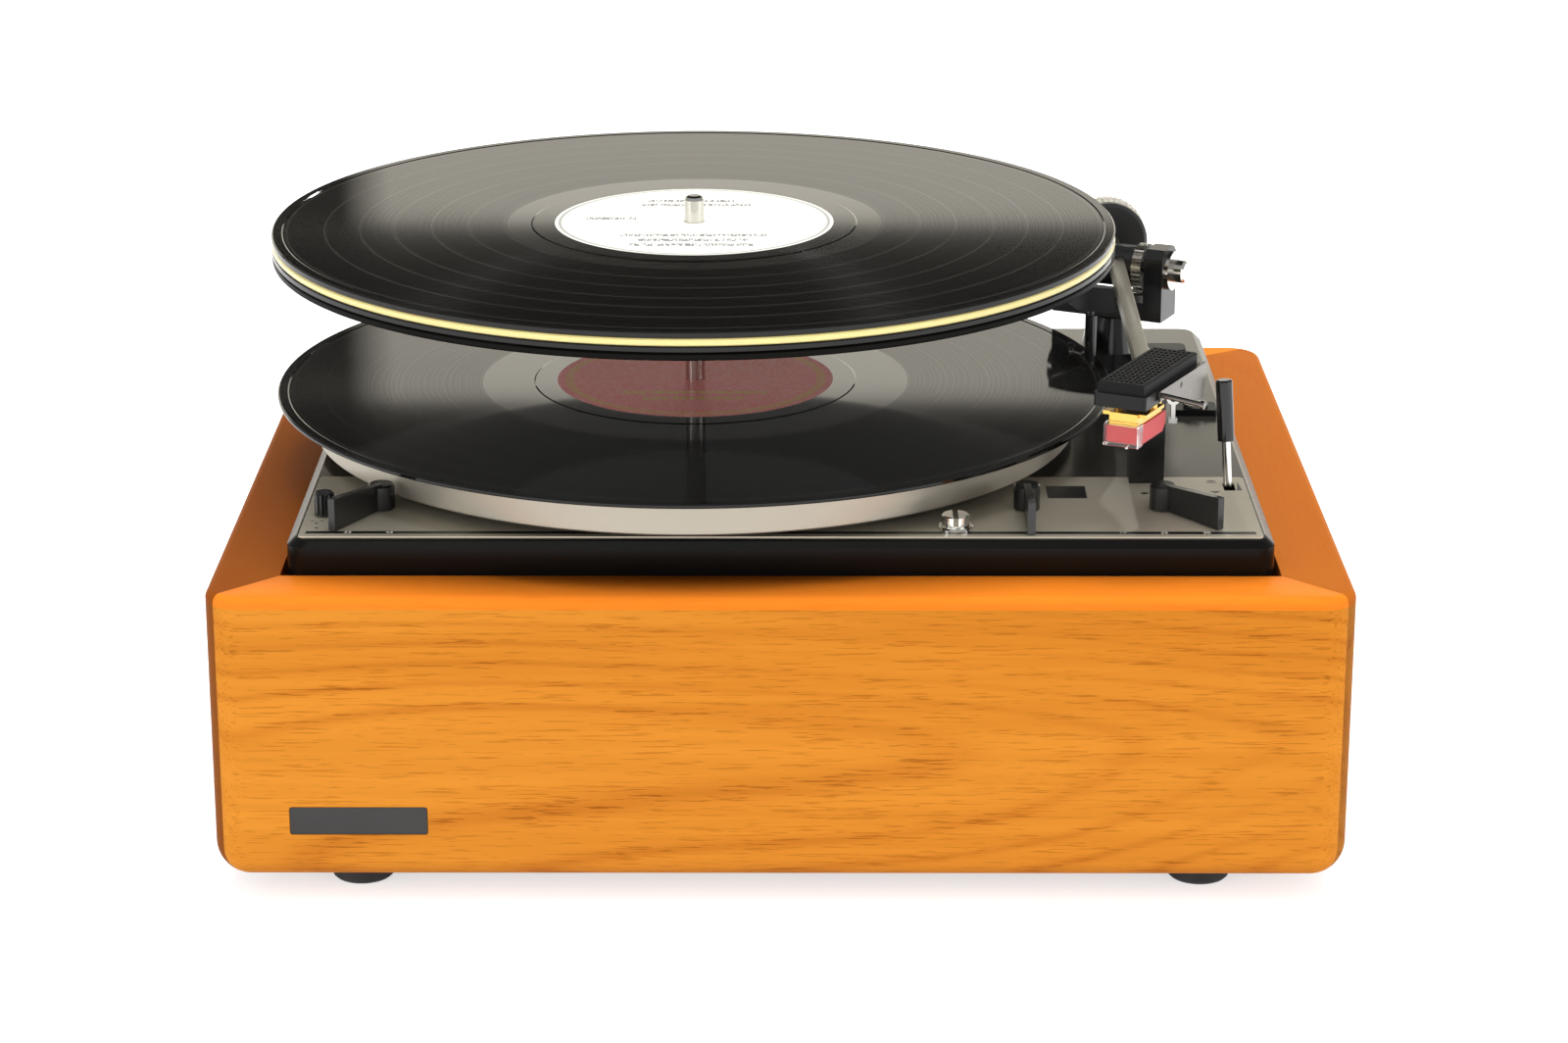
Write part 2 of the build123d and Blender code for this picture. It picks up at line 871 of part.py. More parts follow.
def save_levers():
    """The three levers, their circlips under the deck and the pitch knob."""
    places = {
        "speed_lever": (speed_lever_place(), speed_lever_angle),
        "start_lever": (start_lever_place(), 0),
        "size_lever": (size_lever_place(), size_lever_angle),
    }
    clips = []
    clip_top = deck_bottom - moving_gap
    for node, (place, turn) in places.items():
        clip = rod(lever_circlip, clip_top - plate_thickness, clip_top, place)
        save(node, lever(place, turn) + clip)
    floor = plate_top + moving_gap
    top = floor + pitch_knob_height
    knob = rod(pitch_knob_radius, floor, top)
    knob = chamfer(knob.edges().group_by(Axis.Z)[-1], pitch_knob_radius / 6)
    flute = pitch_knob_radius / 6
    knob -= knurls(pitch_knob_radius, pitch_knob_flute_count, flute, floor + flute, top + overrun)
    knob += rod(knob_shaft_radius, deck_bottom - lever_shaft_drop, floor)
    x, y = pitch_knob_place()
    save("pitch_knob", Pos(x, y, 0) * knob)


cue_depth = 6.0
cue_throw_angle = 35.0
cue_lean_angle = 4.0
cue_side_angle = 3.5
cue_rod_radius = 1.5
cue_grip_radius = 2.9
cue_grip_from = 16.5
cue_grip_length = 21.5
cue_axle_radius = 1.2
cue_axle_half = 3.1
cue_ear = 1.0


def cue_lever_place():
    """Where the cue lever leaves the deck."""
    return deck_right - cue_lever_in, deck_front + cue_lever_back


def save_cue_lever():
    """The chrome cue lever with its black grip, on a cross axle."""
    x, y = cue_lever_place()
    low = deck_top - cue_depth
    place = Pos(x, y, low) * Rot(-cue_lean_angle, -cue_side_angle, 0)
    grip_low = cue_depth + cue_grip_from
    stem = rod(cue_rod_radius, 0, grip_low)
    axle = Pos(-cue_axle_half, 0, 0) * along_x(rod(cue_axle_radius, 0, 2 * cue_axle_half))
    save("cue_lever_rod", place * stem + Pos(x, y, low) * axle)
    grip = rod(cue_grip_radius, grip_low, grip_low + cue_grip_length)
    grip = fillet(grip.edges().group_by(Axis.Z)[-1], cue_grip_radius / 4)
    save("cue_lever_grip", place * grip)
    bracket = cue_bracket()
    save("cue_bracket", *bracket)


def cue_bracket():
    """Two ears under the deck that hold the cue lever's axle."""
    x, y = cue_lever_place()
    low = deck_top - cue_depth
    ears = []
    for side in (-1, 1):
        outer = x + side * cue_axle_half
        inner = outer - side * cue_ear
        span = sorted((outer, inner))
        foot = low - 2 * cue_axle_radius
        ear = block((span[0], y - cue_grip_radius, foot), (span[1], y + cue_grip_radius, deck_bottom))
        bore = along_x(rod(cue_axle_radius + running_gap, 0, 3 * cue_axle_half))
        ears.append(ear - Pos(x - 2 * cue_axle_half, y, low) * bore)
    return ears


# The tonearm

column_stem_radius = 7.0
column_base_radius = 19.0
column_top_radius = 9.0
column_base_height = 2.0
column_flare_share = (0.72, 0.35)
column_drop = 12.0
yoke_inner = 14.6
yoke_outer = 22.1
yoke_half_depth = 7.8
yoke_under = 19.0
yoke_over = 8.6
yoke_bridge = 7.0
yoke_chamfer = 3.0
yoke_shaft_radius = 3.0
yoke_shaft_length = 28.0
lift_guide_angle = -109.0
guide_foot_radius = 3.4
guide_foot_height = 1.6
guide_radius = 2.2
guide_height = 9.4
column_nut_height = 4.0
lift_pin_radius = 1.2
lift_bar_half = 1.5
lift_bar_start_angle = -137.0
lift_bar_end_angle = -94.0
lift_bar_thick = 3.4
lift_bar_root = 9.4
lift_travel_room = 6.0


def arm_place():
    """The yoke's frame: X along the horizontal bearing, origin on the pivot."""
    return Pos(pivot_x, pivot_y, 0) * Rot(0, 0, -offset_angle)


def raised(shape):
    """A piece of the arm, tipped up about the horizontal bearing."""
    turn = radians(offset_angle)
    axis = Axis((pivot_x, pivot_y, bearing_z), (cos(turn), -sin(turn), 0))
    return shape.rotate(axis, -rest_rise_angle)


def save_column():
    """The flared black column that the arm turns on."""
    top = bearing_z - yoke_under - moving_gap
    shoulder = deck_top + column_base_height
    tall = top - shoulder
    mid_radius = column_top_radius + column_flare_share[1] * (column_base_radius - column_top_radius)
    bore = yoke_shaft_radius + running_gap
    outline = [
        (bore, deck_bottom - column_drop),
        (column_stem_radius, deck_bottom - column_drop),
        (column_stem_radius, deck_top),
        (column_base_radius, deck_top),
        (column_base_radius, shoulder),
        (mid_radius, shoulder + (1 - column_flare_share[0]) * tall),
        (column_top_radius, top),
        (bore, top),
    ]
    column = Pos(pivot_x, pivot_y, 0) * turned(outline)
    guide = polar(lift_radius, lift_guide_angle, (pivot_x, pivot_y))
    foot = SlotCenterToCenter(lift_radius, 2 * guide_foot_radius)
    link = Rot(0, 0, lift_guide_angle) * Pos(lift_radius / 2, 0, deck_top) * foot
    link = Pos(pivot_x, pivot_y, 0) * extrude(link, guide_foot_height)
    link -= rod(column_base_radius - overrun, deck_top - overrun, shoulder + tall, (pivot_x, pivot_y))
    column += link + rod(guide_radius, deck_top, record_top + guide_height, guide)
    floor = deck_top + guide_foot_height
    column -= rod(lift_pin_radius + running_gap, floor, record_top + guide_height + overrun, guide)
    save("arm_column", column)


def tube_underside(reach):
    """The height of the raised tube's underside, at a distance from the pivot."""
    rise = reach * cos(radians(offset_angle)) * sin(radians(rest_rise_angle))
    return tube_z - tube_side / 2 + rise


def save_lift_bar():
    """The curved bar that lifts the tube, deep over its pin and thin at its end."""
    top = tube_underside(lift_radius - lift_bar_half) - moving_gap
    low = top - lift_bar_root
    inner, outer = lift_radius - lift_bar_half, lift_radius + lift_bar_half
    corners = [polar(inner, lift_bar_start_angle), polar(inner, lift_bar_end_angle)]
    corners += [polar(outer, lift_bar_end_angle), polar(outer, lift_bar_start_angle)]
    middle = (lift_bar_start_angle + lift_bar_end_angle) / 2
    line = ThreePointArc(corners[0], polar(inner, middle), corners[1])
    line += Line(corners[1], corners[2])
    line += ThreePointArc(corners[2], polar(outer, middle), corners[3])
    line += Line(corners[3], corners[0])
    bar = Pos(0, 0, low) * extrude(make_face(line), lift_bar_root)
    across = 2 * lift_radius
    thin, root = top - lift_bar_thick, low - overrun
    side = [(-across, root), (across, root), (across, thin), (lift_bar_root, low)]
    side += [(-lift_bar_root / 2, low), (-lift_radius / 2, thin), (-across, thin)]
    under = make_face(Polyline(*[(0, y, z) for y, z in side], close=True))
    under = Rot(0, 0, lift_guide_angle) * extrude(under, across, both=True)
    bar -= under
    guide = polar(lift_radius, lift_guide_angle)
    bar += rod(lift_pin_radius, deck_top + guide_foot_height + lift_travel_room, low, guide)
    save("lift_bar", Pos(pivot_x, pivot_y, 0) * bar)


def save_yoke():
    """The forked yoke that carries the horizontal bearing."""
    low, high = bearing_z - yoke_under, bearing_z + yoke_over
    floor = low + yoke_bridge
    deep = yoke_half_depth
    side = [(-deep, low), (deep, low), (deep, high - yoke_chamfer), (deep - yoke_chamfer, high)]
    side += [(yoke_chamfer - deep, high), (-deep, high - yoke_chamfer)]
    face = make_face(Polyline(*[(0, y, z) for y, z in side], close=True))
    body = extrude(face, yoke_outer, both=True)
    body -= block((-yoke_inner, -2 * deep, floor), (yoke_inner, 2 * deep, high + overrun))
    bore = along_x(rod(pin_radius, -yoke_outer - overrun, yoke_outer + overrun))
    body -= Pos(0, 0, bearing_z) * bore
    body += rod(yoke_shaft_radius, low - yoke_shaft_length, low)
    save("arm_yoke", arm_place() * body)


pin_radius = 2.0
pin_tip = 6.3
boss_radius = 7.5
boss_height = 2.0
stud_radius = 4.3
stud_reach = 6.9
stud_round = 0.8
cross_pin_radius = 1.15
cross_pin_front = 7.5
cross_pin_below = 8.0


def save_bearing_pins():
    """The two bearing pins, and the cross pin in front of them."""
    right = turned(
        [
            (0, pin_tip),
            (pin_radius, pin_tip),
            (pin_radius, yoke_outer),
            (boss_radius, yoke_outer),
            (boss_radius, yoke_outer + boss_height),
            (stud_radius, yoke_outer + boss_height),
            (stud_radius, yoke_outer + stud_reach - stud_round),
            (stud_radius - stud_round, yoke_outer + stud_reach),
            (0, yoke_outer + stud_reach),
        ]
    )
    left = turned(
        [
            (0, pin_tip),
            (pin_radius, pin_tip),
            (pin_radius, yoke_outer),
            (boss_radius, yoke_outer),
            (boss_radius, yoke_outer + boss_height),
            (0, yoke_outer + boss_height),
        ]
    )
    frame = arm_place() * Pos(0, 0, bearing_z)
    cross = along_x(rod(cross_pin_radius, -yoke_inner, yoke_inner))
    cross = frame * Pos(0, -cross_pin_front, -cross_pin_below) * cross
    save("bearing_pins", frame * Rot(0, 90, 0) * right, frame * Rot(0, -90, 0) * left, cross)


block_radius = 8.0
block_half = 9.5
dial_radius = 9.2
dial_gap = 0.3
dial_width = 3.8
dial_bore = 2.4
dial_knurl_count = 30
dial_knurl_depth = 0.35


def toed(shape):
    """A shape drawn along Y from the pivot, turned in towards the record."""
    return Pos(pivot_x, pivot_y, 0) * Rot(0, 0, -tube_toe_angle) * shape


def tube_cutter():
    """The straight space that the arm tube fills, level and toed in."""
    half = tube_side / 2
    low = (-half, -tube_front_reach, tube_z - half)
    high = (half, tube_back_reach, tube_z + half)
    return toed(block(low, high))


def save_pivot_block():
    """The block on the bearing pins, and the tracking force dial beside it."""
    body = along_x(rod(block_radius, -block_half, block_half))
    for turn in (90, -90):
        hole = rod(pin_radius + running_gap, pin_tip - moving_gap, block_half + overrun)
        body -= Rot(0, turn, 0) * hole
    body = arm_place() * Pos(0, 0, bearing_z) * body
    save("pivot_block", raised(body - tube_cutter()))
    low = block_half + dial_gap
    dial = rod(dial_radius, low, low + dial_width)
    dial -= rod(dial_bore, low - overrun, low + dial_width + overrun)
    dial -= knurls(dial_radius, dial_knurl_count, dial_knurl_depth, low - overrun, low + dial_width + overrun)
    dial = arm_place() * Pos(0, 0, bearing_z) * Rot(0, 90, 0) * dial
    save("force_dial", raised(dial))


tube_before_stylus = 23.8
tube_front_reach = effective_length - tube_before_stylus
tube_back_reach = 24.0
tube_wall = 0.9
stub_radius = 3.0
stub_length = 26.0


def save_tube():
    """The square arm tube, and the round stub behind it."""
    half = tube_side / 2
    tube = block((-half, -tube_front_reach, tube_z - half), (half, tube_back_reach, tube_z + half))
    tube = chamfer(tube.edges().filter_by(Axis.Y), tube_wall / 2)
    core = half - tube_wall
    low = (-core, -tube_front_reach - overrun, tube_z - core)
    high = (core, tube_back_reach / 2, tube_z + core)
    tube = toed(tube - block(low, high))
    stub = along_y(rod(stub_radius, 0, stub_length))
    tube += Pos(pivot_x, pivot_y + tube_back_reach, tube_z) * stub
    save("arm_tube", raised(tube))


weight_start = 6.0
weight_disc = 4.0
weight_ring = 12.0
weight_knurl_count = 40
weight_knurl_depth = 0.6
weight_bevel = 1.2


def save_counterweight():
    """The counterweight: a black face disc and a knurled ring behind it."""
    start = pivot_y + tube_back_reach + weight_start
    bore = stub_radius + running_gap
    disc = turned(
        [
            (bore, 0),
            (weight_radius - weight_bevel, 0),
            (weight_radius, weight_bevel),
            (weight_radius, weight_disc),
            (bore, weight_disc),
        ]
    )
    low, high = weight_disc, weight_disc + weight_ring
    ring = turned(
        [
            (bore, low),
            (weight_radius, low),
            (weight_radius, high - weight_bevel),
            (weight_radius - weight_bevel, high),
            (bore, high),
        ]
    )
    ring -= knurls(weight_radius, weight_knurl_count, weight_knurl_depth, low - overrun, high + overrun)
    place = Pos(pivot_x, start, tube_z)
    save("counterweight_disc", raised(place * along_y(disc)))
    save("counterweight_ring", raised(place * along_y(ring)))


# The headshell and cartridge, in a frame with -Y forward and X across

head_bottom = 20.3
frame_height = 4.6
cover_height = 3.9
cover_in = 1.1
shell_wall = 1.2
grid_column_count = 8
grid_row_count = 15
grid_edge = 1.3
grid_bar_share = 0.38
stylus_before_front = 8.6
stylus_from_back = head_length - stylus_before_front
bridge_front = -2.0
bridge_back = 18.5
head_pin_radius = 1.0


def head_place():
    """The headshell's frame: origin at the middle of its back edge."""
    turn = radians(offset_angle)
    x = pivot_x - stylus_offset + stylus_from_back * sin(turn)
    y = pivot_y - effective_length + stylus_from_back * cos(turn)
    return Pos(x, y, record_top) * Rot(0, 0, -offset_angle)


def side_form(points, half):
    """A form drawn from the side in (along, height) points, to both sides."""
    face = make_face(Polyline(*[(0, y, z) for y, z in points], close=True))
    return extrude(face, half, both=True)


def save_headshell():
    """The open shell with its cartridge bridge, and the cover over it."""
    half = head_width / 2
    low, high = head_bottom, head_bottom + frame_height
    tip = -stylus_from_back
    shell = block((-half, -head_length, low), (half, 0, high))
    shell = fillet(shell.edges().filter_by(Axis.Z), shell_wall)
    inner = half - shell_wall
    shell -= block((-inner, shell_wall - head_length, low - overrun), (inner, -shell_wall, high + overrun))
    shell += block((-inner, tip + bridge_front, low), (inner, tip + bridge_back, low + shell_wall))
    pin = along_x(rod(head_pin_radius, inner, half + lift_gap + lift_plate))
    shell += Pos(0, -lift_pivot, low + frame_height / 2) * pin
    save("headshell", raised(head_place() * shell - tube_cutter()))
    save("headshell_cover", raised(head_place() * head_cover() - tube_cutter()))


def head_cover():
    """The low cover whose top is a grid of small square holes."""
    half = head_width / 2 - cover_in
    low = head_bottom + frame_height
    top = low + cover_height
    front = cover_in - head_length
    body = block((-half, front, low), (half, -cover_in, top))
    body = chamfer(body.edges().group_by(Axis.Z)[-1], cover_in / 2)
    inner = half - shell_wall
    ceiling = top - shell_wall
    body -= block((-inner, front + shell_wall, low - overrun), (inner, -cover_in - shell_wall, ceiling))
    wide = 2 * half - 2 * grid_edge
    deep = head_length - 2 * cover_in - 2 * grid_edge
    step_x, step_y = wide / grid_column_count, deep / grid_row_count
    hole_x, hole_y = step_x * (1 - grid_bar_share), step_y * (1 - grid_bar_share)
    holes = []
    for column in range(grid_column_count):
        for row in range(grid_row_count):
            x = grid_edge - half + (column + 1 / 2) * step_x
            y = front + grid_edge + (row + 1 / 2) * step_y
            holes.append(Pos(x, y) * Rectangle(hole_x, hole_y))
    sketch = Pos(0, 0, ceiling - overrun) * Sketch(children=holes)
    return body - extrude(sketch, shell_wall + 2 * overrun)


cartridge_width = 10.0
cartridge_height = 4.4
cartridge_ahead = 4.1
cartridge_behind = 19.0
cartridge_top = 17.5
flange_width = 15.4
flange_thick = 1.2
flange_ahead = 3.0
flange_behind = 14.0
flange_post_radius = 1.4
flange_post_behind = 7.4
flange_post_out = 6.2
stylus_block_width = 11.0
stylus_block_height = 6.6
stylus_block_ahead = 4.6
stylus_block_behind = 22.0
stylus_block_cut = 2.6
cantilever_radius = 0.35
cantilever_length = 6.0
guard_ahead = 6.1
guard_behind = 1.6
guard_wall = 0.7
guard_over = 1.0


def save_cartridge():
    """The cartridge, its stylus block, guard and cantilever."""
    tip = -stylus_from_back
    high, mid = cartridge_top, cartridge_top - cartridge_height
    body = block(
        (-cartridge_width / 2, tip - cartridge_ahead, mid),
        (cartridge_width / 2, tip + cartridge_behind, high),
    )
    body += block(
        (-flange_width / 2, tip - flange_ahead, high - flange_thick),
        (flange_width / 2, tip + flange_behind, high),
    )
    for side in (-flange_post_out, flange_post_out):
        at = (side, tip + flange_post_behind)
        body += rod(flange_post_radius, high, head_bottom, at)
    save("cartridge_body", raised(head_place() * body))
    low = mid - stylus_block_height
    front, back = tip - stylus_block_ahead, tip + stylus_block_behind
    cut = stylus_block_cut
    outline = [(front, mid), (back, mid), (back, low + cut), (back - cut, low)]
    outline += [(front + cut, low), (front, low + cut / 2)]
    stylus = side_form(outline, stylus_block_width / 2)
    save("stylus_block", raised(head_place() * stylus))
    save("stylus_guard", raised(head_place() * stylus_guard(tip, low, mid)))
    save("cantilever", raised(head_place() * cantilever(tip, low)))


def stylus_guard(tip, low, mid):
    """A clear cap that wraps the front of the stylus block."""
    inner = stylus_block_width / 2
    outer = inner + guard_wall
    front, back = tip - guard_ahead, tip - guard_behind
    guard = block((-outer, front, low), (outer, back, mid + guard_over))
    room = block(
        (-inner, front + guard_wall, low - overrun), (inner, back + overrun, mid + 2 * overrun)
    )
    return guard - room


def cantilever(tip, low):
    """The thin cantilever, from under the block down to the stylus tip."""
    thick = cantilever_radius
    outline = [
        (tip - thick, stylus_height),
        (tip + thick, stylus_height),
        (tip + 2 * thick, stylus_height + 2 * thick),
        (tip + cantilever_length, low),
        (tip + cantilever_length - 3 * thick, low),
        (tip - thick, stylus_height + 2 * thick),
    ]
    return side_form(outline, thick)


lift_gap = 0.3
lift_plate = 0.9
lift_plate_behind = 2.5
lift_plate_front = 42.5
lift_plate_drop = 12.0
lift_strip = 3.6
lift_pivot = 22.5
lift_hypotenuse_from = 35.5
lift_foot = 6.5
lift_rod_radius = 0.9
lift_rod_length = 14.0
lift_rod_from_back = 40.5
lift_rod_angle = 6.0
lift_knob_radius = 1.4


def save_finger_lift():
    """The finger lift: a hanging triangular plate and its chrome rod."""
    x = head_width / 2 + lift_gap
    top = head_bottom + frame_height
    low = top - lift_plate_drop
    outline = [(lift_plate_behind, top), (-lift_plate_front, top), (-lift_plate_front, top - lift_strip)]
    outline += [(-lift_hypotenuse_from, top - lift_strip), (-lift_foot, low), (0, low)]
    outline += [(lift_plate_behind, top - lift_strip)]
    face = make_face(Polyline(*[(x, y, z) for y, z in outline], close=True))
    plate = extrude(face, lift_plate, dir=(1, 0, 0))
    bore = along_x(rod(head_pin_radius + running_gap, 0, head_width))
    plate -= Pos(0, -lift_pivot, head_bottom + frame_height / 2) * bore
    bar = rod(lift_rod_radius, 0, lift_rod_length)
    bar += rod(lift_knob_radius, lift_rod_length, lift_rod_length + lift_knob_radius)
    bar = Rot(0, 90 + lift_rod_angle, 0) * bar
    plate += Pos(x + lift_plate / 2, -lift_rod_from_back, top - lift_strip / 2) * bar
    save("finger_lift", raised(head_place() * plate))


# The arm rest and the small pieces on the deck

rest_width = 12.1
rest_depth = 10.0
rest_slack = 0.6
rest_prong = 5.0
rest_prong_wide = 2.2
rest_ear = 4.9
rest_ear_drop = 4.4
rest_ear_height = 5.0
rest_ear_depth = 3.0
clip_pin_radius = 1.2
clip_hub_radius = 2.4
clip_depth = 3.0
clip_length = 9.0
clip_blade = 1.5


def rest_span():
    """The front and back of the arm rest, along Y."""
    return deck_front + arm_rest_back, deck_front + arm_rest_back + rest_depth


def rest_seat():
    """The bottom of the rest's fork, just under the lowered tube."""
    reach = pivot_y - sum(rest_span()) / 2
    drop = reach * cos(radians(offset_angle)) * sin(radians(lift_drop_angle))
    return tube_underside(reach) - drop - 2 * moving_gap


def clip_axis():
    """Where the clip's pin runs, as X and Z."""
    x = pivot_x + rest_width / 2 + moving_gap + clip_hub_radius
    return x, rest_seat() - rest_ear_drop


def save_arm_rest():
    """The forked arm rest, and the clip that hangs at its side."""
    front, back = rest_span()
    half, seat = rest_width / 2, rest_seat()
    slot = tube_side / 2 + rest_slack
    post = block((pivot_x - half, front, deck_top), (pivot_x + half, back, seat + rest_prong))
    middle = pivot_x - (pivot_y - (front + back) / 2) * tan(radians(tube_toe_angle))
    fork_left = middle - slot - rest_prong_wide
    post += block((fork_left, front, seat - rest_prong), (pivot_x, back, seat + rest_prong))
    low = (middle - slot, front - overrun, seat)
    high = (middle + slot, back + overrun, seat + tube_height)
    post -= block(low, high)
    x, z = clip_axis()
    ear_front = front + rest_depth / 2
    low = z - rest_ear_height / 2
    post += block(
        (pivot_x + half, ear_front, low),
        (pivot_x + half + rest_ear, ear_front + rest_ear_depth, low + rest_ear_height),
    )
    pin_front = ear_front - moving_gap - clip_depth
    post += Pos(x, pin_front, z) * along_y(rod(clip_pin_radius, 0, ear_front - pin_front))
    save("arm_rest", post)
    hub = rod(clip_hub_radius, 0, clip_depth)
    blade = block((-clip_blade / 2, 0, 0), (clip_blade / 2, clip_length, clip_depth))
    hook = block((-clip_blade, clip_length - clip_blade, 0), (clip_blade, clip_length, clip_depth))
    clip = hub + blade + hook
    clip -= rod(clip_pin_radius + running_gap, -overrun, clip_depth + overrun)
    save("rest_clip", Pos(x, pin_front, z) * along_y(clip))


skate_in = 2.2
skate_before_pivot = 65.5
skate_width = 15.0
skate_depth = 11.0
skate_height = 2.3
skate_corner = 1.0
skate_dial_radius = 4.6
skate_dial_height = 1.0
skate_shaft_radius = 1.5
skate_slot = 1.0
cap_in = 5.5
cap_width = 15.5
cap_from_back = 32.5
cap_depth = 10.0
cap_height = 1.5
cap_corner = 3.0


def save_deck_caps():
    """The anti-skating block with its dial, and the low cap behind it."""
    x = deck_right - skate_in - skate_width / 2
    y = pivot_y - skate_before_pivot
    top = deck_top + skate_height
    base = Pos(x, y, deck_top) * RectangleRounded(skate_width, skate_depth, skate_corner)
    base = extrude(base, skate_height)
    base -= rod(skate_shaft_radius + running_gap, deck_top + skate_corner, top + overrun, (x, y))
    cap_x = deck_right - cap_in - cap_width / 2
    cap_y = deck_back - cap_from_back
    cap = Pos(cap_x, cap_y, deck_top) * RectangleRounded(cap_width, cap_depth, cap_corner)
    save("deck_caps", base, extrude(cap, cap_height))
    floor = top + moving_gap
    dial = rod(skate_dial_radius, floor, floor + skate_dial_height)
    half = skate_slot / 2
    wide = skate_dial_radius + overrun
    dial -= block((-wide, -half, floor + skate_dial_height / 2), (wide, half, floor + overrun + wide))
    dial += rod(skate_shaft_radius, deck_top + skate_corner + moving_gap, floor)
    save("antiskate_dial", Pos(x, y, 0) * dial)


def main():
    """Build every piece in turn."""
    save_plinth()
    save_feet()
    save_bottom()
    save_rails()
    save_dampers()
    save_deck()
    save_plate()
    save_transport_screws()
    save_bearing()
    save_platter()
    save_mat()
    save_records()
    save_spindle()
    save_idler()
    save_motor()
    save_cam()
    save_fixings()
    save_levers()
    save_cue_lever()
    save_column()
    save_lift_bar()
    save_yoke()
    save_bearing_pins()
    save_pivot_block()
    save_tube()
    save_counterweight()
    save_headshell()
    save_cartridge()
    save_finger_lift()
    save_arm_rest()
    save_deck_caps()


main()
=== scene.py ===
"""Looks of the record changer turntable: camera, materials, studio and trim."""

from math import cos, pi, radians, sin

import bmesh
import bpy
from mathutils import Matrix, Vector


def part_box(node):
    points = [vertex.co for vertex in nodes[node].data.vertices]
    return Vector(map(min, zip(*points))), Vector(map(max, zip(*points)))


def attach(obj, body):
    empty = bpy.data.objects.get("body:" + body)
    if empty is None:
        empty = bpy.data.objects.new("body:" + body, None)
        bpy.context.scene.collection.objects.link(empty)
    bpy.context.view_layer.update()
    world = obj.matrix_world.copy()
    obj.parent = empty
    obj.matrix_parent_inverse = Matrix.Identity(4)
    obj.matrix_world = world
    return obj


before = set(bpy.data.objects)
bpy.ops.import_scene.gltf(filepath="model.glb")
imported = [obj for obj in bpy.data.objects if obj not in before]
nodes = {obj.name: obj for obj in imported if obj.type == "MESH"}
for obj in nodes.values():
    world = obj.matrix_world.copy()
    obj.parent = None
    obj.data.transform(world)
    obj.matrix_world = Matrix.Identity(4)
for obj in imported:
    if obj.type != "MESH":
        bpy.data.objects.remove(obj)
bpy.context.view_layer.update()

# Sizes and places, in metres, in the row frame
label_low, label_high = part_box("playing_label")
spindle_x = (label_low[0] + label_high[0]) / 2
spindle_y = (label_low[1] + label_high[1]) / 2
spindle = (spindle_x, spindle_y, 0)
label_radius = (label_high[0] - label_low[0]) / 2
record_low, record_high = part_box("playing_record")
record_radius = (record_high[0] - record_low[0]) / 2
plate_low, plate_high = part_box("control_plate")
front_low, front_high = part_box("plinth_front")
pan_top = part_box("chassis_pan")[1][2]

# The camera, fitted to the photograph
camera_place = (0.004, -1.3844, 0.5358)
camera_pitch = 0.315
camera_yaw = 0.0023
focal_length = 90.91  # mm
sensor_width = 36.0  # mm


def add_camera():
    """The camera at the photograph's place and angle."""
    data = bpy.data.cameras.new("camera")
    data.lens = focal_length
    data.sensor_width = sensor_width
    data.sensor_fit = "HORIZONTAL"
    camera = bpy.data.objects.new("camera", data)
    camera.location = camera_place
    camera.rotation_euler = (pi / 2 - camera_pitch, 0, camera_yaw)
    bpy.context.scene.collection.objects.link(camera)
    bpy.context.scene.camera = camera


# Node helpers


def new_material(name):
    """A material with its tree and its shader."""
    material = bpy.data.materials.new(name)
    material.use_nodes = True
    tree = material.node_tree
    return material, tree, tree.nodes["Principled BSDF"]


def put(tree, socket, value):
    """Link a socket to another, or set its value."""
    if isinstance(value, bpy.types.NodeSocket):
        tree.links.new(value, socket)
    else:
        socket.default_value = value


def add(tree, kind, inputs=None, **settings):
    """A shader node with its settings and its inputs."""
    node = tree.nodes.new("ShaderNode" + kind)
    for key, value in settings.items():
        setattr(node, key, value)
    for key, value in (inputs or {}).items():
        put(tree, node.inputs[key], value)
    return node


def calc(tree, operation, *values):
    """The output of a Math node."""
    node = add(tree, "Math", operation=operation)
    for socket, value in zip(node.inputs, values):
        put(tree, socket, value)
    return node.outputs[0]


def ramp(tree, factor, stops):
    """A colour ramp's output, from (place, colour) stops."""
    node = add(tree, "ValToRGB", {"Fac": factor})
    elements = node.color_ramp.elements
    while len(elements) < len(stops):
        elements.new(0.5)
    for element, (place, colour) in zip(elements, stops):
        element.position = place
        element.color = colour if len(colour) == 4 else (*colour, 1)
    return node.outputs["Color"]


def grey(value):
    """A grey of that brightness."""
    return (value, value, value)


def blend(tree, factor, first, second, kind="MIX"):
    """Two colours mixed."""
    node = add(tree, "Mix", data_type="RGBA", blend_type=kind)
    put(tree, node.inputs["Factor"], factor)
    sides = [socket for socket in node.inputs if socket.type == "RGBA"]
    for socket, value in zip(sides, (first, second)):
        if isinstance(value, tuple) and len(value) == 3:
            value = (*value, 1)
        put(tree, socket, value)
    return node.outputs[2]


def spread(tree, value, low, high):
    """A 0 to 1 value moved to another range."""
    inputs = {"Value": value, "To Min": low, "To Max": high}
    return add(tree, "MapRange", inputs).outputs["Result"]


def smooth_rise(tree, value, low, high):
    """0 up to the low value, 1 from the high one, and smooth between them."""
    inputs = {"Value": value, "From Min": low, "From Max": high}
    node = add(tree, "MapRange", inputs, interpolation_type="SMOOTHSTEP")
    return node.outputs["Result"]


def line_noise(tree, place, detail):
    """Noise along one measure, such as a radius."""
    inputs = {"W": place, "Detail": detail}
    return add(tree, "TexNoise", inputs, noise_dimensions="1D").outputs[0]


def coordinates(tree):
    """The piece's own coordinates, which are the row frame's at rest."""
    return add(tree, "TexCoord").outputs["Object"]


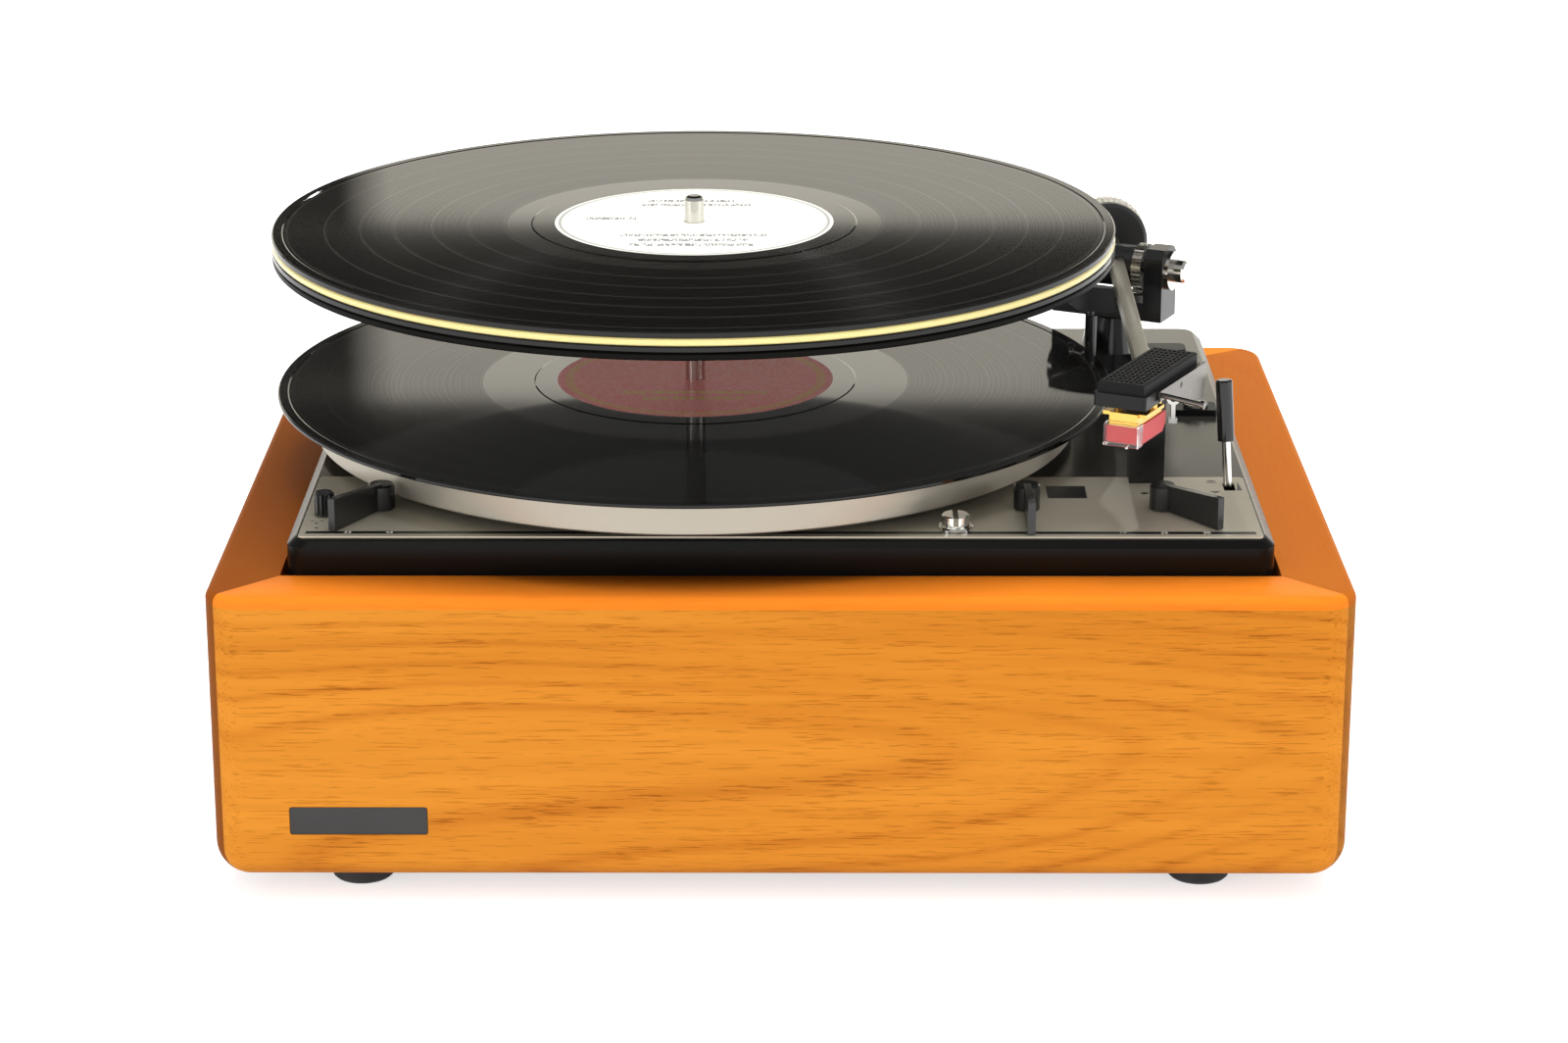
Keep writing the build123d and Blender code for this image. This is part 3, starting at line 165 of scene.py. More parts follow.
def stretched(tree, scale, offset=(0, 0, 0)):
    """The piece's coordinates, scaled along each axis."""
    inputs = {"Vector": coordinates(tree), "Scale": scale, "Location": offset}
    return add(tree, "Mapping", inputs).outputs["Vector"]


def noise(tree, scale, detail=2.0, offset=(0, 0, 0), rough=0.5):
    """Noise stretched by a scale for each axis."""
    vector = stretched(tree, scale, offset)
    inputs = {"Vector": vector, "Scale": 1.0, "Detail": detail, "Roughness": rough}
    return add(tree, "TexNoise", inputs).outputs[0]


def bump(tree, shader, height, distance, strength=1.0):
    """A bump of a real height on a shader."""
    inputs = {"Height": height, "Distance": distance, "Strength": strength}
    node = add(tree, "Bump", inputs)
    tree.links.new(node.outputs["Normal"], shader.inputs["Normal"])


def settings(shader, **values):
    """Set a shader's plain inputs by their names in lower case."""
    for key, value in values.items():
        name = key.replace("_", " ").title().replace("Ior", "IOR")
        shader.inputs[name].default_value = value


def colour(red, green, blue):
    """A colour read as 0 to 255 screen values, made linear."""
    shares = (red / 255, green / 255, blue / 255)
    return tuple(
        ((share + 0.055) / 1.055) ** 2.4 if share > 10 / 255 else share / 12.92
        for share in shares
    )


# Materials


wood_light = colour(228, 148, 52)
wood_middle = colour(216, 134, 42)
wood_dark = colour(176, 90, 22)
# The top band's colour is partly a deeper veneer tone and partly painted light, made brighter to
# make up for the shade there.
wood_top_band_tone_and_light = colour(250, 132, 34)
top_band_light_share = 0.7
wood_edge_depth = 0.004
streak_dark = (0.9, 0.86, 0.8)
streak_share = 0.8
pore_dark = (0.5, 0.38, 0.26)
pore_height = 0.00004
wobble_share = 0.012
ring_rate = 170.0
ring_sharpness = 5.0
ring_share = 0.44
lacquer_roughness = (0.48, 0.6)

# How fine each noise is, per metre along the grain and across it
figure_grain = (1.7, 9.0)
wobble_grain = (7.0, 50.0)
wander_grain = (3.0, 14.0)
pore_grain = (70.0, 1500.0)
streak_grain = (4.0, 150.0)
tone_grain = (1.5, 12.0)


def wood(name, along, offset, depth=0.0, painted_shade_factor=1.0):
    """Lacquered timber, its grain along an axis, with an orange band at the top, partly its
    veneer's deeper tone and partly painted light.

    depth blends in the dark wood, and the last argument darkens the whole; on the side boards
    both are painted shade.
    """
    material, tree, shader = new_material(name)

    def grain(lengthwise, across):
        return tuple(lengthwise if axis == along else across for axis in range(3))

    figure = noise(tree, grain(*figure_grain), 1.0, offset, 0.35)
    wobble = noise(tree, grain(*wobble_grain), 2.0, offset)
    figure = calc(tree, "MULTIPLY_ADD", wobble, wobble_share, figure)
    rings = calc(tree, "SINE", calc(tree, "MULTIPLY", figure, ring_rate))
    rings = calc(tree, "POWER", calc(tree, "MULTIPLY_ADD", rings, 0.5, 0.5), ring_sharpness)
    wander = noise(tree, grain(*wander_grain), 2.0, offset)
    wander = ramp(tree, wander, [(0.4, grey(0.1)), (0.65, grey(1.0))])
    rings = calc(tree, "MULTIPLY", rings, wander)
    pores = noise(tree, grain(*pore_grain), 2.0, offset, 0.6)
    streaks = noise(tree, grain(*streak_grain), 4.0, offset, 0.65)
    tone = noise(tree, grain(*tone_grain), 2.0, offset)
    base = ramp(tree, tone, [(0.35, wood_middle), (0.65, wood_light)])
    base = blend(tree, calc(tree, "MULTIPLY", rings, ring_share), base, wood_dark)
    fine = ramp(tree, streaks, [(0.4, streak_dark), (0.6, grey(1))])
    base = blend(tree, streak_share, base, fine, "MULTIPLY")
    marks = ramp(tree, pores, [(0.36, pore_dark), (0.43, grey(1))])
    mark_share = calc(tree, "MULTIPLY_ADD", rings, 0.45, 0.4)
    base = blend(tree, mark_share, base, marks, "MULTIPLY")
    height = add(tree, "SeparateXYZ", {0: coordinates(tree)}).outputs[2]
    top = calc(tree, "GREATER_THAN", height, front_high[2] - wood_edge_depth)
    # The top band: a deeper veneer tone, brightened as painted light.
    base = blend(tree, calc(tree, "MULTIPLY", top, top_band_light_share), base, wood_top_band_tone_and_light)
    if depth:
        base = blend(tree, depth, base, wood_dark)
    # Painted shade: the whole board is darkened.
    if painted_shade_factor < 1:
        base = blend(tree, 1.0, base, grey(painted_shade_factor), "MULTIPLY")
    tree.links.new(base, shader.inputs["Base Color"])
    tree.links.new(spread(tree, streaks, *lacquer_roughness), shader.inputs["Roughness"])
    settings(shader, specular_ior_level=0.03)
    bump(tree, shader, pores, pore_height, 0.5)
    return material


def radius_of(tree, centre):
    """The distance from an upright axis, in metres."""
    inputs = {0: coordinates(tree), 1: centre}
    offset = add(tree, "VectorMath", inputs, operation="SUBTRACT").outputs[0]
    inputs = {0: offset, 1: (1, 1, 0)}
    flat = add(tree, "VectorMath", inputs, operation="MULTIPLY").outputs[0]
    return add(tree, "VectorMath", {0: flat}, operation="LENGTH").outputs["Value"]


def ring_marks(tree, distance, radii, width):
    """A mask that is 1 on thin rings at the given radii."""
    total = None
    for radius in radii:
        gap = calc(tree, "ABSOLUTE", calc(tree, "SUBTRACT", distance, radius))
        line = calc(tree, "SUBTRACT", 1.0, calc(tree, "DIVIDE", gap, width))
        line = calc(tree, "MAXIMUM", line, 0.0)
        total = line if total is None else calc(tree, "MAXIMUM", total, line)
    return total


vinyl_black = (0.003, 0.0027, 0.0021)
# The track gaps' colour is a painted sheen, lighter than the black vinyl.
gap_sheen_colour = (0.034, 0.032, 0.027)
gap_width = 0.0006
band_rate = 420.0
groove_rate = 2600.0
groove_height = 0.000002
groove_roughness = (0.22, 0.4)
gap_polish = 0.1
smooth_polish = 0.14
least_rough = 0.1
coat_least = 0.5
coat_most = 0.95


def vinyl(name, gaps, groove_end, polish=1.0):
    """Pressed vinyl: bands of grooves, thin track gaps and a smooth run-out.

    The gaps are radii, and polish is the weight of its glossy coat.
    """
    material, tree, shader = new_material(name)
    distance = radius_of(tree, spindle)
    bands = line_noise(tree, calc(tree, "MULTIPLY", distance, band_rate), 6.0)
    fine = line_noise(tree, calc(tree, "MULTIPLY", distance, groove_rate), 2.0)
    marks = ring_marks(tree, distance, gaps, gap_width)
    smooth = calc(tree, "LESS_THAN", distance, groove_end)
    rough = spread(tree, bands, *groove_roughness)
    rough = calc(tree, "SUBTRACT", rough, calc(tree, "MULTIPLY", marks, gap_polish))
    rough = calc(tree, "MULTIPLY_ADD", smooth, -smooth_polish, rough)
    rough = calc(tree, "MAXIMUM", rough, least_rough)
    tree.links.new(rough, shader.inputs["Roughness"])
    # The track gaps are painted lighter than the black vinyl, a painted sheen on their smooth
    # rings.
    base = blend(tree, marks, vinyl_black, gap_sheen_colour)
    tree.links.new(base, shader.inputs["Base Color"])
    settings(shader, anisotropic=1.0, anisotropic_rotation=0.25, specular_ior_level=0.005)
    settings(shader, coat_weight=polish, coat_roughness=0.06, coat_ior=1.5)
    cover = spread(tree, bands, coat_least * polish, coat_most * polish)
    cover = calc(tree, "MAXIMUM", cover, calc(tree, "MULTIPLY", smooth, polish))
    tree.links.new(cover, shader.inputs["Coat Weight"])
    tangent = add(tree, "Tangent", direction_type="RADIAL", axis="Z")
    tree.links.new(tangent.outputs[0], shader.inputs["Tangent"])
    height = calc(tree, "ADD", fine, calc(tree, "MULTIPLY", marks, 2.0))
    grooved = calc(tree, "SUBTRACT", 1.0, smooth)
    bump(tree, shader, calc(tree, "MULTIPLY", height, grooved), groove_height, 0.3)
    return material


def clear_vinyl():
    """The straw-coloured record in the stack, seen by its edge."""
    material, tree, shader = new_material("vinyl_straw")
    share = calc(tree, "DIVIDE", radius_of(tree, spindle), record_radius)
    inner, outer, edge = colour(214, 160, 70), colour(248, 206, 104), colour(255, 232, 160)
    base = ramp(tree, share, [(0.0, inner), (0.97, outer), (1.0, edge)])
    tree.links.new(base, shader.inputs["Base Color"])
    settings(shader, roughness=0.22, subsurface_weight=0.3, subsurface_scale=0.003)
    cloud = noise(tree, (60, 60, 60), 3.0)
    bump(tree, shader, cloud, 0.00002, 0.3)
    return material


rim_line_width = 0.0011
pressed_share = 0.34
pressed_width = 0.0012
fibre_height = 0.00003
row_half_height = 0.0018


def paper(name, ground, ink, rim, lines):
    """A label: paper with rings near its edge and rows of noise in the place of print.

    The rings are shares of its radius, and a row is (across, along, half width).
    """
    material, tree, shader = new_material(name)
    distance = radius_of(tree, spindle)
    fibre = noise(tree, (900, 900, 900), 3.0, rough=0.7)
    pale = ramp(tree, fibre, [(0.3, grey(0.0)), (0.7, grey(0.25))])
    base = blend(tree, pale, ground, grey(1))
    radii = [share * label_radius for share in rim]
    ring = ring_marks(tree, distance, radii, rim_line_width)
    base = blend(tree, calc(tree, "MULTIPLY", ring, 0.75), base, ink)
    place = add(tree, "SeparateXYZ", {0: coordinates(tree)})
    print_mask = None
    for across, along, width in lines:
        side = calc(tree, "SUBTRACT", place.outputs[0], spindle_x + across)
        within = calc(tree, "LESS_THAN", calc(tree, "ABSOLUTE", side), width)
        line = calc(tree, "SUBTRACT", place.outputs[1], spindle_y + along)
        level = calc(tree, "LESS_THAN", calc(tree, "ABSOLUTE", line), row_half_height)
        row = calc(tree, "MULTIPLY", within, level)
        print_mask = row if print_mask is None else calc(tree, "MAXIMUM", print_mask, row)
    letters = noise(tree, (1500, 300, 1), 0.0)
    letters = ramp(tree, letters, [(0.44, grey(0.0)), (0.5, grey(1.0))])
    mask = calc(tree, "MULTIPLY", print_mask, letters)
    base = blend(tree, calc(tree, "MULTIPLY", mask, 0.85), base, ink)
    tree.links.new(base, shader.inputs["Base Color"])
    settings(shader, roughness=0.42, specular_ior_level=0.2)
    pressed = ring_marks(tree, distance, [pressed_share * label_radius], pressed_width)
    relief = calc(tree, "ADD", fibre, calc(tree, "MULTIPLY", pressed, -4.0))
    bump(tree, shader, relief, fibre_height, 0.5)
    return material


def plain(name, base, rough, grain=0.04, scale=400.0, tone=0.12, height=0.00001, **values):
    """A moulded or painted surface with fine texture and slight wear."""
    material, tree, shader = new_material(name)
    fine = noise(tree, (scale,) * 3, 3.0, rough=0.6)
    cloud = noise(tree, (22.0,) * 3, 3.0)
    dull = tuple(v * (1 - tone) for v in base)
    lively = tuple(min(1.0, v * (1 + tone)) for v in base)
    tree.links.new(ramp(tree, cloud, [(0.35, dull), (0.65, lively)]), shader.inputs["Base Color"])
    mixed = calc(tree, "MULTIPLY_ADD", cloud, 0.5, calc(tree, "MULTIPLY", fine, 0.5))
    tree.links.new(spread(tree, mixed, rough - grain, rough + grain), shader.inputs["Roughness"])
    settings(shader, **values)
    bump(tree, shader, fine, height, 0.6)
    return material


brush_height = 0.000008


def brushed(name, base, rough, along, scale=(9.0, 1400.0), anisotropy=0.5, share=1.0, **values):
    """Metal brushed along one axis."""
    material, tree, shader = new_material(name)
    stretch = tuple(scale[0] if axis == along else scale[1] for axis in range(3))
    streaks = noise(tree, stretch, 4.0, rough=0.7)
    cloud = noise(tree, (14.0,) * 3, 3.0)
    dull = tuple(v * 0.86 for v in base)
    base = blend(tree, cloud, dull, base)
    shade = ramp(tree, streaks, [(0.3, grey(0.86)), (0.65, grey(1.0))])
    tree.links.new(blend(tree, 0.7, base, shade, "MULTIPLY"), shader.inputs["Base Color"])
    tree.links.new(spread(tree, streaks, rough - 0.07, rough + 0.1), shader.inputs["Roughness"])
    settings(shader, metallic=share, anisotropic=anisotropy, **values)
    bump(tree, shader, streaks, brush_height, 0.5)
    return material


lathe_rate = 5200.0
lathe_height = 0.000006


def turned_metal(name, base, rough, centre, share=1.0):
    """Metal turned on a lathe about an upright axis."""
    material, tree, shader = new_material(name)
    place = add(tree, "SeparateXYZ", {0: coordinates(tree)})
    lines = calc(tree, "ADD", radius_of(tree, centre), place.outputs[2])
    lathe = line_noise(tree, calc(tree, "MULTIPLY", lines, lathe_rate), 3.0)
    cloud = noise(tree, (9.0,) * 3, 3.0)
    dull = tuple(v * 0.9 for v in base)
    tree.links.new(ramp(tree, cloud, [(0.3, dull), (0.7, base)]), shader.inputs["Base Color"])
    tree.links.new(spread(tree, lathe, rough - 0.05, rough + 0.08), shader.inputs["Roughness"])
    settings(shader, metallic=share, anisotropic=0.4)
    bump(tree, shader, lathe, lathe_height, 0.5)
    return material


deck_black = (0.004, 0.004, 0.0035)
deck_grey = (0.1, 0.094, 0.078)
deck_metallic = 0.78
deck_top_depth = 0.0012
deck_grain_height = 0.000003


def deck_paint():
    """The deck: warm grey metallic lacquer on top, black on the skirt."""
    material, tree, shader = new_material("deck_paint")
    fine = noise(tree, (700.0,) * 3, 3.0, rough=0.6)
    normal = add(tree, "SeparateXYZ", {0: add(tree, "NewGeometry").outputs["Normal"]})
    height = add(tree, "SeparateXYZ", {0: coordinates(tree)}).outputs[2]
    above = calc(tree, "GREATER_THAN", height, pan_top - deck_top_depth)
    facing = calc(tree, "GREATER_THAN", normal.outputs[2], 0.8)
    top = calc(tree, "MULTIPLY", above, facing)
    base = blend(tree, top, deck_black, deck_grey)
    tree.links.new(base, shader.inputs["Base Color"])
    metal = calc(tree, "MULTIPLY", top, deck_metallic)
    tree.links.new(metal, shader.inputs["Metallic"])
    tree.links.new(spread(tree, fine, 0.18, 0.26), shader.inputs["Roughness"])
    settings(shader, specular_ior_level=0.12)
    bump(tree, shader, fine, deck_grain_height, 0.3)
    return material


def clear_plastic():
    """The clear stylus guard."""
    material, tree, shader = new_material("guard_clear")
    settings(shader, base_color=(0.96, 0.95, 0.92, 1), roughness=0.04)
    settings(shader, transmission_weight=1.0, ior=1.45)
    cloud = noise(tree, (300.0,) * 3, 2.0)
    bump(tree, shader, cloud, 0.00001, 0.3)
    return material


# The run-out's radius and the gaps between the tracks, in metres
playing_gaps = [0.078, 0.0915, 0.1065, 0.121, 0.134, 0.1455]
top_gaps = [0.068, 0.081, 0.094, 0.1075, 0.1195, 0.132, 0.1455]
playing_end = 0.0772
top_end = 0.0672

red_lines = [(0, -0.019, 0.026), (0, -0.0265, 0.018)]
white_lines = [
    (-0.002, 0.031, 0.016),
    (0.0, 0.0245, 0.02),
    (0.0, -0.021, 0.026),
    (0.0, -0.028, 0.02),
    (0.0, -0.035, 0.022),
    (-0.03, 0.004, 0.009),
]

lever = {"base": grey(0.012), "rough": 0.26, "specular_ior_level": 0.55}
rubber = {"height": 0.00003}
polished = {"anisotropy": 0.2}
stylus = {"specular_ior_level": 0.2, "subsurface_weight": 0.15, "subsurface_scale": 0.002}

materials = {
    "plinth_front": wood("wood_front", 0, (3.1, 0.4, 0.2)),
    "plinth_back": wood("wood_back", 0, (7.7, 2.4, 1.2)),
    # The side boards are the same wood darkened as painted shade, the left one most and browner.
    "plinth_left": wood("wood_left", 1, (1.3, 5.0, 0.6), 0.75, 0.5),
    "plinth_right": wood("wood_right", 1, (4.5, 8.2, 2.6), 0.1, 0.58),
    "bottom_board": wood("wood_board", 0, (9.0, 1.0, 4.0), 0.4),
    "mounting_rails": wood("wood_rails", 1, (2.0, 6.0, 3.0), 0.4),
    "chassis_pan": deck_paint(),
    "control_plate": brushed("plate_metal", colour(198, 190, 170), 0.4, 0, share=0.55),
    "platter": turned_metal("platter_metal", colour(190, 190, 186), 0.34, spindle),
    "platter_rim": turned_metal("rim_metal", colour(186, 179, 164), 0.38, spindle, 0.55),
    "platter_mat": plain("mat_rubber", grey(0.018), 0.7),
    "playing_record": vinyl("vinyl_playing", playing_gaps, playing_end),
    "stack_record_4": vinyl("vinyl_top", top_gaps, top_end),
    "stack_record_3": clear_vinyl(),
    "stack_record_2": vinyl("vinyl_second", [0.09, 0.12], 0.07),
    "stack_record_1": vinyl("vinyl_first", [0.085, 0.1, 0.118, 0.133], 0.07, polish=0.2),
    "playing_label": paper(
        "label_red", colour(240, 84, 64), colour(216, 168, 60), (0.9, 0.93), red_lines
    ),
    "stack_label": paper(
        "label_white", colour(246, 244, 232), colour(96, 94, 92), (0.965,), white_lines
    ),
    "changer_spindle": brushed("spindle_chrome", colour(222, 220, 214), 0.14, 2, **polished),
    "transport_screws": plain(
        "screw_chrome", colour(226, 224, 218), 0.13, metallic=1.0, tone=0.04
    ),
    "foot_screws": plain("foot_screw", colour(190, 190, 190), 0.25, metallic=1.0),
    "rubber_feet": plain("foot_rubber", grey(0.015), 0.62, **rubber),
    "rubber_grommets": plain("grommet_rubber", grey(0.016), 0.6, **rubber),
    "suspension_dampers": plain("damper_rubber", grey(0.022), 0.65, **rubber),
    "bearing_post": brushed("post_steel", colour(170, 170, 172), 0.3, 2),
    "thrust_race": brushed("race_steel", colour(165, 165, 168), 0.25, 0),
    "motor_body": plain("motor_paint", grey(0.18), 0.4, metallic=0.4),
    "motor_pulley": brushed("pulley_brass", colour(206, 176, 98), 0.24, 0),
    "idler_tyre": plain("tyre_rubber", grey(0.03), 0.7, **rubber),
    "idler_hub": brushed("hub_metal", colour(180, 180, 178), 0.32, 0),
    "idler_arm": plain("arm_zinc", colour(186, 178, 140), 0.34, metallic=0.9),
    "under_deck_fixings": plain("fixing_zinc", colour(176, 176, 172), 0.3, metallic=1.0),
    "cycle_cam": plain("cam_plastic", colour(222, 216, 198), 0.42, height=0.00002),
    "speed_lever": plain("lever_black", **lever),
    "start_lever": plain("start_black", **lever),
    "size_lever": plain("size_black", **lever),
    "pitch_knob": plain("knob_black", grey(0.012), 0.24),
    "cue_lever_rod": brushed("cue_chrome", colour(226, 224, 220), 0.12, 2, **polished),
    "cue_lever_grip": plain("cue_black", grey(0.008), 0.12, grain=0.02),
    "cue_bracket": brushed("bracket_steel", colour(176, 176, 174), 0.3, 2),
    "arm_column": plain("column_black", grey(0.007), 0.16, grain=0.04),
    "arm_yoke": plain("yoke_black", grey(0.011), 0.24, grain=0.04),
    "bearing_pins": brushed("pin_chrome", colour(222, 219, 212), 0.16, 0, **polished),
    "pivot_block": plain("block_black", grey(0.014), 0.32),
    "force_dial": brushed("dial_metal", colour(214, 210, 200), 0.26, 0),
    "arm_tube": brushed("tube_metal", colour(150, 145, 130), 0.34, 1, scale=(30.0, 1800.0)),
    "counterweight_disc": plain("weight_dark", grey(0.02), 0.34),
    "counterweight_ring": brushed("weight_light", colour(206, 204, 198), 0.26, 0),
    "headshell": plain(
        "shell_black", grey(0.012), 0.36, height=0.00002, specular_ior_level=0.2
    ),
    "headshell_cover": plain(
        "cover_black", grey(0.016), 0.5, height=0.00002, specular_ior_level=0.06
    ),
    "cartridge_body": brushed("cartridge_gold", colour(236, 190, 100), 0.24, 0),
    "stylus_block": plain("stylus_red", colour(206, 12, 22), 0.3, **stylus),
    "stylus_guard": clear_plastic(),
    "cantilever": plain("cantilever_metal", colour(200, 200, 196), 0.2, metallic=1.0),
    "finger_lift": plain("finger_metal", colour(116, 112, 106), 0.28, metallic=1.0),
    "arm_rest": plain("rest_black", grey(0.009), 0.2, grain=0.05),
    "rest_clip": brushed("clip_metal", colour(206, 204, 200), 0.22, 2),
    "deck_caps": plain("cap_black", grey(0.006), 0.3, specular_ior_level=0.1),
    "antiskate_dial": brushed("skate_dial", colour(196, 194, 188), 0.26, 0),
    "lift_bar": plain("lift_black", grey(0.012), 0.3),
}


sharp_angle = radians(28)


def dress(obj, material):
    """Give an object one material and smooth faces with sharp edges."""
    mesh = obj.data
    mesh.materials.clear()
    mesh.materials.append(material)
    mesh.shade_smooth()
    mesh.set_sharp_from_angle(angle=sharp_angle)


def mesh_object(name, mesh, material):
    """A new piece of the object that stays with the base."""
    obj = bpy.data.objects.new(name, mesh)
    bpy.context.scene.collection.objects.link(obj)
    dress(obj, material)
    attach(obj, "base")


# The studio

floor_size = 12.0
floor_glow = 0.62

backdrop_back = 1.05
backdrop_height = 0.455
backdrop_half = 1.7
backdrop_warmth = (1.36, 1.29, 1.12)
# A dark strip in the card: x plus half a metre, and the brightness there
card_strip_offset = 0.5
card_strip_stops = [(0.09, 1.0), (0.14, 0.05), (0.22, 0.05), (0.25, 1.0)]

# The surround's brightness, and between which directions its dark part fades in
world_diffuse = 0.66
world_shine = 0.45
world_dark = 0.012
dark_up = (0.02, 0.1)
dark_back = (-0.3, 0.1)
dark_side = (0.3, 0.6)

# Each lamp is aimed at a height above the frame's middle
sheen_size = (0.04, 0.06)
lamps = {
    "key": {"place": (-0.7, -2.4, 0.62), "size": (1.8, 0.8), "power": 5.0},
    "fill": {"place": (1.8, -1.5, 0.55), "size": (1.0, 0.7), "power": 3.6},
    "sheen_right": {
        "place": (0.15, 2.14, 1.2),
        "aim": 0.17,
        "size": sheen_size,
        "power": 1.0,
        "diffuse": False,
    },
    "sheen_left": {
        "place": (-0.47, 2.08, 1.28),
        "aim": 0.17,
        "size": sheen_size,
        "power": 1.0,
        "diffuse": False,
    },
    "left_side": {"place": (-1.8, -1.25, 0.45), "size": (0.8, 0.5), "power": 11.0},
    "right_side": {"place": (2.1, -0.75, 0.4), "size": (0.8, 0.5), "power": 10.0},
    "behind": {
        "place": (0.0, 2.3, 0.56),
        "aim": 0.14,
        "size": (2.0, 0.3),
        "power": 14.0,
        "glossy": False,
    },
    "top": {
        "place": (0.1, 0.1, 2.2),
        "aim": 0.1,
        "size": (1.4, 1.4),
        "power": 36.0,
        "glossy": False,
    },
}


def add_floor():
    """A pale floor that stays white and still takes the shadow."""
    mesh = bpy.data.meshes.new("floor")
    half = floor_size / 2
    corners = [(-half, -half, 0), (half, -half, 0), (half, half, 0), (-half, half, 0)]
    mesh.from_pydata(corners, [], [(0, 1, 2, 3)])
    floor = bpy.data.objects.new("floor", mesh)
    bpy.context.scene.collection.objects.link(floor)
    material, tree, shader = new_material("floor_white")
    settings(shader, base_color=(0.8, 0.8, 0.8, 1), roughness=1.0, specular_ior_level=0.0)
    settings(shader, emission_color=(1, 1, 1, 1))
    path = add(tree, "LightPath")
    seen = calc(tree, "MAXIMUM", path.outputs["Is Camera Ray"], path.outputs["Is Glossy Ray"])
    seen = calc(tree, "MAXIMUM", seen, path.outputs["Is Transmission Ray"])
    glow = calc(tree, "MULTIPLY", seen, floor_glow)
    tree.links.new(glow, shader.inputs["Emission Strength"])
    mesh.materials.append(material)


def add_backdrop():
    """A low bright card behind the object, seen only in reflections.

    Its dark strip parts the light on the records.
    """
    mesh = bpy.data.meshes.new("backdrop")
    corners = [
        (-backdrop_half, backdrop_back, 0),
        (backdrop_half, backdrop_back, 0),
        (backdrop_half, backdrop_back, backdrop_height),
        (-backdrop_half, backdrop_back, backdrop_height),
    ]
    mesh.from_pydata(corners, [], [(0, 1, 2, 3)])
    card = bpy.data.objects.new("backdrop", mesh)
    bpy.context.scene.collection.objects.link(card)
    material, tree, shader = new_material("backdrop_white")
    path = add(tree, "LightPath")
    mirrored, clear = path.outputs["Is Glossy Ray"], path.outputs["Is Transmission Ray"]
    seen = calc(tree, "MAXIMUM", mirrored, clear)
    across = add(tree, "SeparateXYZ", {0: coordinates(tree)}).outputs[0]
    stops = [(place, grey(value)) for place, value in card_strip_stops]
    shade = ramp(tree, calc(tree, "ADD", across, card_strip_offset), stops)
    settings(shader, base_color=(0, 0, 0, 1), roughness=1.0, specular_ior_level=0.0)
    settings(shader, emission_color=(*backdrop_warmth, 1))
    tree.links.new(calc(tree, "MULTIPLY", seen, shade), shader.inputs["Emission Strength"])
    mesh.materials.append(material)
    card.visible_camera = False
    card.visible_diffuse = False
    card.visible_shadow = False


def add_world():
    """A surround that is white to the camera and grey in reflections.

    Above and behind the object it is nearly black in reflections, so that the
    records and the deck stay dark.
    """
    world = bpy.data.worlds.new("studio")
    bpy.context.scene.world = world
    world.use_nodes = True
    tree = world.node_tree
    background = tree.nodes["Background"]
    path = add(tree, "LightPath")
    direction = add(tree, "SeparateXYZ", {0: add(tree, "TexCoord").outputs["Generated"]})
    high = smooth_rise(tree, direction.outputs[2], *dark_up)
    behind = smooth_rise(tree, direction.outputs[1], *dark_back)
    aside = smooth_rise(tree, calc(tree, "ABSOLUTE", direction.outputs[0]), *dark_side)
    dark = calc(tree, "MULTIPLY", high, behind)
    dark = calc(tree, "MULTIPLY", dark, calc(tree, "SUBTRACT", 1.0, aside))
    shine = spread(tree, dark, world_shine, world_dark)
    seen, clear = path.outputs["Is Camera Ray"], path.outputs["Is Transmission Ray"]
    solid = calc(tree, "MAXIMUM", seen, clear)
    glossy = calc(tree, "MULTIPLY", path.outputs["Is Glossy Ray"], shine)
    other = calc(tree, "MAXIMUM", solid, path.outputs["Is Glossy Ray"])
    soft = calc(tree, "MULTIPLY", calc(tree, "SUBTRACT", 1.0, other), world_diffuse)
    strength = calc(tree, "ADD", calc(tree, "ADD", solid, glossy), soft)
    tree.links.new(strength, background.inputs["Strength"])
    background.inputs["Color"].default_value = (1, 1, 1, 1)


def add_lamp(name, place, size, power, aim=0.12, diffuse=True, glossy=True):
    """A rectangular lamp aimed at a height above the frame's middle."""
    data = bpy.data.lights.new(name, "AREA")
    data.shape = "RECTANGLE"
    data.size, data.size_y = size
    data.energy = power
    lamp = bpy.data.objects.new(name, data)
    lamp.location = place
    toward = Vector((0, 0, aim)) - Vector(place)
    lamp.rotation_euler = toward.to_track_quat("-Z", "Y").to_euler()
    bpy.context.scene.collection.objects.link(lamp)
    lamp.visible_diffuse = diffuse
    lamp.visible_glossy = glossy


# Trim on the deck and the cabinet

badge_left = 0.0231
badge_right = 0.069
badge_bottom = 0.025
badge_top = 0.0345
badge_behind = 0.0002
badge_thickness = 0.0006
badge_pocket = 0.0009
badge_gap = 0.00025
badge_corner = 0.0008
corner_segments = 5


def finished(form, name):
    """The mesh of an edited form, which is freed."""
    mesh = bpy.data.meshes.new(name)
    form.to_mesh(mesh)
    form.free()
    return mesh


